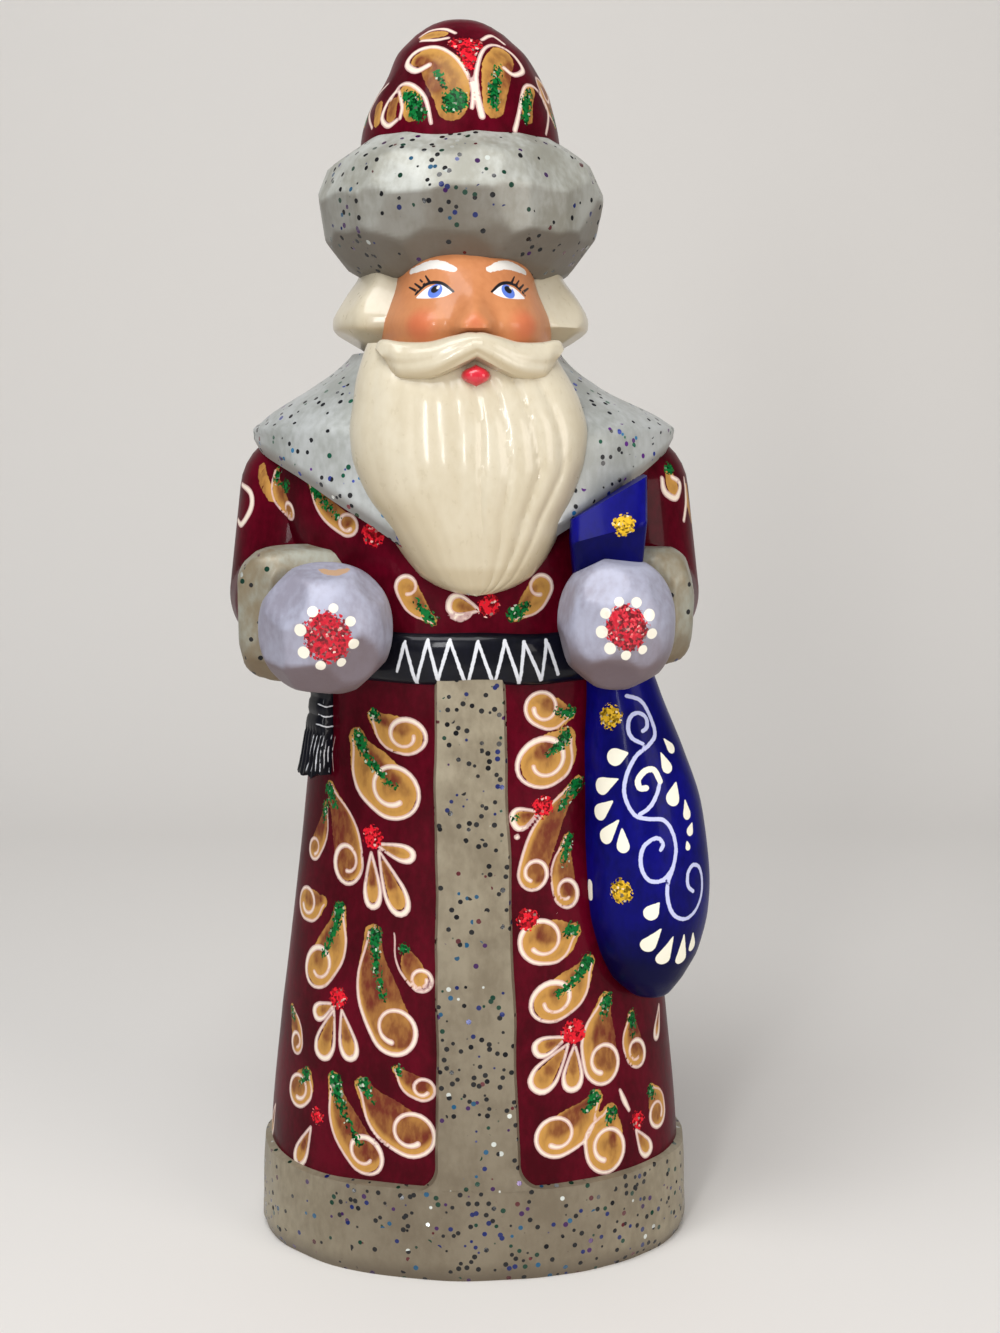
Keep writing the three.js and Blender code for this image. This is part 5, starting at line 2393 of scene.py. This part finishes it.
@dataclass
class Dressing:
    """What a finish works with while its shader is laid out.

    Attributes:
        nodes: The tree.
        effects: The shared effects.
        colour: The colour so far.
        normal: The normal so far, if it differs from the surface's own.
        rough: The roughness so far.
    """

    nodes: Nodes
    effects: Effects
    colour: Value
    rough: Value
    normal: Value | None = None

    def where(self, paint: Paint, raggedness: float = 0.12) -> bpy.types.NodeSocket:
        """Where a paint lies.

        Args:
            paint: The paint.
            raggedness: How ragged the edge is.

        Returns:
            The socket that gives it.
        """
        group = self.nodes.group(self.effects.ragged)
        distance = self.nodes.stroke_edge(paint) if paint in CRISP else self.nodes.layer(paint)
        self.nodes.feed(group, {"Distance": distance, "Raggedness": raggedness})
        return group.outputs["Mask"]

    def brush(self, mask: Value, colour: Value, rough: float | None = None) -> None:
        """Covers the surface with a colour where the mask is 1.

        Args:
            mask: Where, from 0 to 1.
            colour: The colour.
            rough: The roughness there, if it changes.
        """
        self.colour = self.nodes.mix(mask, self.colour, colour)
        if rough is not None:
            low, span = self.rough, self.nodes.math("SUBTRACT", rough, self.rough)
            self.rough = self.nodes.math("MULTIPLY_ADD", mask, span, low)

    def glitter(self, paint: Paint, tint: Colour, spread: float = 0.6) -> None:
        """Sprinkles packed glitter where a paint lies.

        Args:
            paint: The paint.
            tint: The glitter's colour.
            spread: How far grains stray over the edge.
        """
        group = self.nodes.group(self.effects.grains)
        distance = self.nodes.layer(paint)
        self.nodes.feed(group, {"Tint": tone(tint), "Spread": spread, "Distance": distance})
        mask = group.outputs["Mask"]
        self.brush(mask, group.outputs["Color"], 0.3)
        self.blend_normal(mask, group.outputs["Normal"])

    def blend_normal(self, mask: Value, normal: bpy.types.NodeSocket) -> None:
        """Uses another normal where the mask is 1.

        Args:
            mask: Where, from 0 to 1.
            normal: The other normal.
        """
        if self.normal is None:
            self.normal = normal
        else:
            feeds = {0: mask, 4: self.normal, 5: normal}
            self.normal = self.nodes.add("ShaderNodeMix", feeds, data_type="VECTOR").outputs[1]

    def strokes(self) -> None:
        """Paints the ochre leaves with their white strokes and glitter."""
        nodes = self.nodes
        place = self.effects.place(nodes)
        drawn_out = nodes.vector("MULTIPLY", place, (1.6, 1.6, 0.8))
        streak = nodes.step(nodes.noise(drawn_out, 1.3, 3.0), 0.35, 0.68)
        broad = nodes.step(nodes.noise(place, 6.0, 1.0), 0.36, 0.62)
        white = nodes.layer(Paint.WHITE)
        rim = nodes.step(white, 1.5, 0.1)
        ochre = nodes.mix(nodes.times(streak, 0.6), tone(Pigment.DARK_OCHRE), tone(Pigment.OCHRE))
        ochre = nodes.mix(nodes.times(rim, 0.7), ochre, tone(Pigment.BRIGHT_OCHRE))
        self.brush(self.where(Paint.OCHRE, 0.4), ochre, 0.33)
        inner = nodes.step(nodes.layer(Paint.BROWN), 0.6, -0.3)
        inner = nodes.times(inner, self.where(Paint.OCHRE, 0.4))
        inner = nodes.times(inner, nodes.math("MULTIPLY_ADD", streak, -0.3, 1.0))
        inner = nodes.times(inner, nodes.math("MULTIPLY_ADD", broad, 0.45, 0.55))
        self.brush(inner, tone(Pigment.RED_BROWN))
        thick = nodes.step(nodes.stroke_edge(Paint.WHITE), -0.08, -0.30)
        cover = nodes.math("MULTIPLY_ADD", streak, 0.1, nodes.math("MULTIPLY_ADD", thick, 0.3, 0.66))
        cover = nodes.times(self.where(Paint.WHITE, 0.1), nodes.math("MINIMUM", cover, 1.0))
        self.brush(cover, nodes.mix(thick, tone(Pigment.THIN_WHITE), tone(Pigment.THICK_WHITE)), 0.36)
        self.glitter(Paint.GREEN, (14, 108, 50), 0.75)
        self.glitter(Paint.RED, (222, 30, 46), 0.6)

    def finished(self, material: bpy.types.Material, lacquer: "Lacquer") -> bpy.types.Material:
        """Ends the shader and hands over the material.

        Args:
            material: The material.
            lacquer: The paint it shows.

        Returns:
            The material.
        """
        shader = self.nodes.add("ShaderNodeBsdfPrincipled", {
            "Base Color": self.colour, "Roughness": self.rough, "Metallic": lacquer.metallic,
            "Coat Weight": lacquer.coat, "Coat Roughness": 0.09, "Specular IOR Level": lacquer.specular,
        })
        if lacquer.bump:
            grain = self.nodes.noise(self.effects.place(self.nodes), 0.8, 2.0)
            feeds = {"Strength": lacquer.bump, "Distance": 0.0001, "Height": grain}
            if self.normal is not None:
                feeds["Normal"] = self.normal
            self.normal = self.nodes.add("ShaderNodeBump", feeds).outputs[0]
        if self.normal is not None:
            self.nodes.tree.links.new(self.normal, shader.inputs["Normal"])
        self.nodes.add("ShaderNodeOutputMaterial", {"Surface": shader.outputs[0]})
        return material


@dataclass(frozen=True)
class Lacquer:
    """Glossy paint with the brush strokes just to be seen.

    Attributes:
        light: Its lighter tone.
        dark: Its darker tone.
        roughness: How dull the paint is under the varnish.
        coat: How much varnish lies on it.
        metallic: How much it shines like pearl.
        bump: How uneven it is.
        stretch: How the brush strokes are drawn out along each axis.
        flakes: How thickly loose flakes of glitter are strewn.
        specular: How much the paint itself reflects.
        under: The painted shade on planes facing down: the tone they are darkened towards.
        shade_limit: How far up a plane may face and still show some of it.
        sparkle: How bright the colours of the loose flakes are.
        front_shade: How much darker the paint gets down the middle of the front.
        front_shade_heights: Where that starts and where it is full.
        front_shade_sides: How far from the middle it starts and is full.
    """

    light: Colour
    dark: Colour
    roughness: float = 0.34
    coat: float = 0.7
    metallic: float = 0.0
    bump: float = 0.15
    stretch: Triple = (1.0, 1.0, 0.6)
    flakes: float = 0.0
    specular: float = 0.5
    under: Colour | None = None
    shade_limit: float = 0.06
    sparkle: float = 1.0
    front_shade: float = 0.0
    front_shade_heights: Pair = (88.0, 4.0)
    front_shade_sides: Pair = (30.0, 14.0)

    def start(self, material: bpy.types.Material, effects: Effects) -> Dressing:
        """Lays the ground of the paint.

        Args:
            material: The material.
            effects: The shared effects.

        Returns:
            The paint so far.
        """
        nodes = Nodes(material.node_tree)
        nodes.tree.nodes.clear()
        ground = nodes.group(effects.brushed)
        nodes.feed(ground, {"Light": tone(self.light), "Dark": tone(self.dark), "Stretch": self.stretch})
        rough = nodes.math("MULTIPLY_ADD", ground.outputs["Unevenness"], 0.16, self.roughness - 0.08)
        dressing = Dressing(nodes, effects, ground.outputs["Color"], rough)
        # Painted shade: planes that face down take the under tone, more of it the further down they face.
        if self.under:
            normal = nodes.add("ShaderNodeNewGeometry", {}).outputs["Normal"]
            facing = nodes.add("ShaderNodeSeparateXYZ", {0: normal})
            low = nodes.times(nodes.step(facing.outputs["Z"], self.shade_limit, -0.5), 0.9)
            dressing.brush(low, tone(self.under))
        # Painted shade: the middle of the front darkens towards the bottom, in the under tone.
        if self.front_shade:
            spot = nodes.add("ShaderNodeSeparateXYZ", {0: effects.place(nodes)}).outputs
            middle = nodes.step(nodes.math("ABSOLUTE", spot["X"]), *self.front_shade_sides)
            share = nodes.times(nodes.step(spot["Z"], *self.front_shade_heights), middle)
            dressing.brush(nodes.times(share, self.front_shade), tone(self.under))
        if self.flakes:
            loose = nodes.group(effects.flakes)
            nodes.feed(loose, {"Density": self.flakes, "Brightness": self.sparkle})
            dressing.brush(loose.outputs["Mask"], loose.outputs["Color"], 0.2)
            dressing.blend_normal(loose.outputs["Mask"], loose.outputs["Normal"])
        return dressing

    def dress(self, material: bpy.types.Material, effects: Effects, finish: Finish) -> None:
        """Lays out the shader of a finish.

        Args:
            material: The material.
            effects: The shared effects.
            finish: The finish.
        """
        dressing = self.start(material, effects)
        if finish is Finish.COAT:
            dressing.strokes()
        elif finish is Finish.SACK:
            dressing.brush(dressing.where(Paint.WHITE, 0.15), tone(Pigment.PALE_BLUE), 0.36)
            dressing.brush(dressing.where(Paint.CREAM, 0.1), tone(Pigment.CREAM), 0.36)
            dressing.glitter(Paint.GOLD, (226, 180, 44), 0.7)
        elif finish is Finish.BELT:
            dressing.brush(dressing.where(Paint.WHITE, 0.18), tone(Pigment.COLD_WHITE), 0.36)
        elif finish is Finish.MITTEN:
            dressing.brush(dressing.where(Paint.OCHRE, 0.9), tone(Pigment.TAN), 0.5)
            dressing.glitter(Paint.RED, (206, 20, 46), 0.9)
            dressing.brush(dressing.where(Paint.CREAM, 0.1), tone(Pigment.PEARL), 0.4)
        elif finish is Finish.SKIN:
            nodes = dressing.nodes
            rosy = nodes.times(nodes.step(nodes.layer(Paint.BLUSH), 1.2, -1.6), 0.55)
            dressing.brush(rosy, tone(Pigment.ROSE))
            dressing.brush(dressing.where(Paint.CREAM, 0.05), tone(Pigment.EYEBALL), 0.3)
            dressing.brush(dressing.where(Paint.IRIS, 0.05), tone(Pigment.EYE_BLUE), 0.3)
            dressing.brush(dressing.where(Paint.INK, 0.06), tone(Pigment.LASH), 0.3)
            dressing.brush(dressing.where(Paint.WHITE, 0.3), tone(Pigment.BROW), 0.4)
        dressing.finished(material, self)


# The tones given for planes facing down are painted shade, and so is the darkening low on the front of the
# trim.
LACQUERS: dict[Finish, Lacquer] = {
    Finish.COAT: Lacquer((90, 2, 24), (63, 1, 13), 0.36, 0.11, specular=0.03),
    Finish.FUR: Lacquer(
        (186, 189, 188), (155, 158, 153), 0.48, 0.08, 0.2, 0.3, flakes=0.62, under=(140, 136, 130),
        sparkle=2.4,
    ),
    Finish.BAND: Lacquer(
        (186, 188, 182), (150, 149, 138), 0.5, 0.06, 0.18, 0.3, flakes=0.5, under=(96, 87, 75), shade_limit=0.2,
    ),
    Finish.TRIM: Lacquer(
        (156, 146, 124), (128, 117, 96), 0.48, 0.08, 0.2, 0.3, flakes=0.95, under=(98, 86, 70), front_shade=0.58,
    ),
    Finish.CUFF: Lacquer(
        (160, 162, 150), (135, 122, 98), 0.46, 0.08, 0.2, 0.3, flakes=0.2, under=(112, 94, 68),
    ),
    Finish.MITTEN: Lacquer((170, 172, 191), (143, 140, 155), 0.5, 0.04, 0.12, 0.35, under=(104, 86, 88)),
    Finish.HAIR: Lacquer(
        (209, 200, 178), (200, 189, 164), 0.3, 0.38, 0.0, 0.12, specular=0.35, under=(190, 174, 142),
    ),
    Finish.SKIN: Lacquer((202, 134, 87), (188, 120, 75), 0.42, 0.2, 0.0, 0.12, specular=0.3),
    Finish.LIPS: Lacquer((226, 40, 62), (196, 18, 42), 0.3, 0.7),
    Finish.SACK: Lacquer((12, 11, 114), (7, 7, 82), 0.34, 0.06, specular=0.05, under=(6, 7, 48)),
    Finish.BELT: Lacquer((12, 13, 26), (6, 7, 14), 0.34, 0.25, specular=0.1),
}


@dataclass
class Studio:
    """A pale floor with a curved backdrop, and soft light.

    Attributes:
        scale: From drawn millimetres to metres.
    """

    scale: float

    def backdrop(self) -> None:
        """The floor, which rises behind the figure in a wide curve."""
        body = bmesh.new()
        outline = [(-420.0, 0.0), (260.0, 0.0)]
        turns = even(0.13, math.pi / 2, 0.13)
        outline += [(260 + 160 * math.sin(turn), 160 - 160 * math.cos(turn)) for turn in turns]
        outline += [(420.0, 620.0)]
        row = [body.verts.new((-900 * self.scale, y * self.scale, z * self.scale)) for y, z in outline]
        edges = [body.edges.new(pair) for pair in zip(row, row[1:])]
        swept = bmesh.ops.extrude_edge_only(body, edges=edges)["geom"]
        moved = [item for item in swept if isinstance(item, bmesh.types.BMVert)]
        bmesh.ops.translate(body, verts=moved, vec=(1800 * self.scale, 0, 0))
        bmesh.ops.recalc_face_normals(body, faces=body.faces)
        for face in body.faces:
            face.smooth = True
        mesh = bpy.data.meshes.new("backdrop")
        body.to_mesh(mesh)
        body.free()
        paper = bpy.data.materials.new("pale_paper")
        paper.use_nodes = True
        shader = paper.node_tree.nodes["Principled BSDF"]
        shader.inputs["Base Color"].default_value = tone((232, 229, 225))
        shader.inputs["Roughness"].default_value = 0.9
        mesh.materials.append(paper)
        floor = shown("backdrop", mesh)

    def lamp(self, name: str, place: Triple, size: Pair, power: float, colour: Colour = WHITE_LIGHT) -> None:
        """A soft rectangular light that faces the figure's chest.

        Args:
            name: What it is called.
            place: Where it stands, in drawn millimetres.
            size: Its two sides.
            power: Its power for a figure of 180 mm.
            colour: Its colour.
        """
        data = bpy.data.lights.new(name, "AREA")
        data.shape = "RECTANGLE"
        data.size, data.size_y = (side * self.scale for side in size)
        data.energy = power * (self.scale * 1000) ** 2
        data.color = tone(colour)[:3]
        spot = Vector(place) * self.scale
        aim = Vector((0.0, 0.0, 110.0 * self.scale)) - spot
        turn = aim.to_track_quat("-Z", "Y").to_matrix().to_4x4()
        shown(name, data).matrix_world = Matrix.Translation(spot) @ turn

    def light(self) -> None:
        """A high soft key, a tall window, a low fill and an even sky."""
        self.lamp("key", (-120.0, -280.0, 560.0), (420.0, 300.0), 2.45)
        self.lamp("window", (-150.0, -520.0, 230.0), (60.0, 240.0), 0.9)
        self.lamp("fill", (420.0, -420.0, 180.0), (300.0, 300.0), 1.2, (255, 248, 240))
        world = bpy.data.worlds.new("sky")
        world.use_nodes = True
        sky = world.node_tree.nodes["Background"]
        sky.inputs["Color"].default_value = tone((236, 238, 242))
        sky.inputs["Strength"].default_value = 0.28
        bpy.context.scene.world = world
        bpy.context.scene.view_settings.view_transform = "Standard"


@dataclass
class Figure:
    """The finished figure: carved, painted and placed in the shared frame.

    Attributes:
        scale: From drawn millimetres to metres.
    """

    scale: float

    def materials(self) -> None:
        """Makes a material for each finish."""
        effects = Effects(1 / self.scale)
        for finish, lacquer in LACQUERS.items():
            material = bpy.data.materials.new(finish.value)
            material.use_nodes = True
            lacquer.dress(material, effects, finish)
            FINISHES[finish] = material

    @staticmethod
    def paint(canvas: Canvas) -> None:
        """Paints every motif.

        Args:
            canvas: The surface.
        """
        panels, upper = FrontPanels(), UpperMotifs()
        laid = (SackMotifs().motifs(), HandMotifs().motifs())
        for motifs in (panels.left, panels.right, upper.chest, upper.crown, *laid):
            paint_seen(canvas, motifs)
        head, face = Head(), FaceMotifs()
        out = head.turned(np.array((0.0, -1.0, 0.0))) - head.turned(np.zeros(3))
        centre = head.turned(np.array((0.0, -20.0, face.height)))
        patch = Patch(canvas, centre, out, np.array((0.0, 0.0, 1.0)))
        for motif in face.motifs():
            motif.paint(patch)
        PlainSides().paint(canvas)

    def build(self) -> bpy.types.Object:
        """Builds the piece.

        Returns:
            The object.
        """
        self.materials()
        piece = Carving(all_forms()).joined()
        canvas = Canvas(piece.data)
        self.paint(canvas)
        for longest, between in REFINEMENTS:
            canvas.refine(longest, between)
        canvas.keep()
        triangles = sum(len(face.vertices) - 2 for face in piece.data.polygons)
        log.info("%s: %d triangles under the paint", PIECE, triangles)
        write_points(piece.data, read_points(piece.data) * self.scale)
        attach(piece, BODY)
        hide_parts(NODE)
        log.info("%s: painted and placed", PIECE)
        return piece


def main() -> None:
    """Builds the figure in its studio."""
    logging.basicConfig(level=logging.INFO, format="%(message)s")
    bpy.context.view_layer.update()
    low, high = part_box(NODE)
    scale = (high[2] - low[2]) / DRAWN_HEIGHT
    Figure(scale).build()
    studio = Studio(scale)
    studio.backdrop()
    studio.light()
    VIEW.camera(scale)


if __name__ == "__main__":
    main()
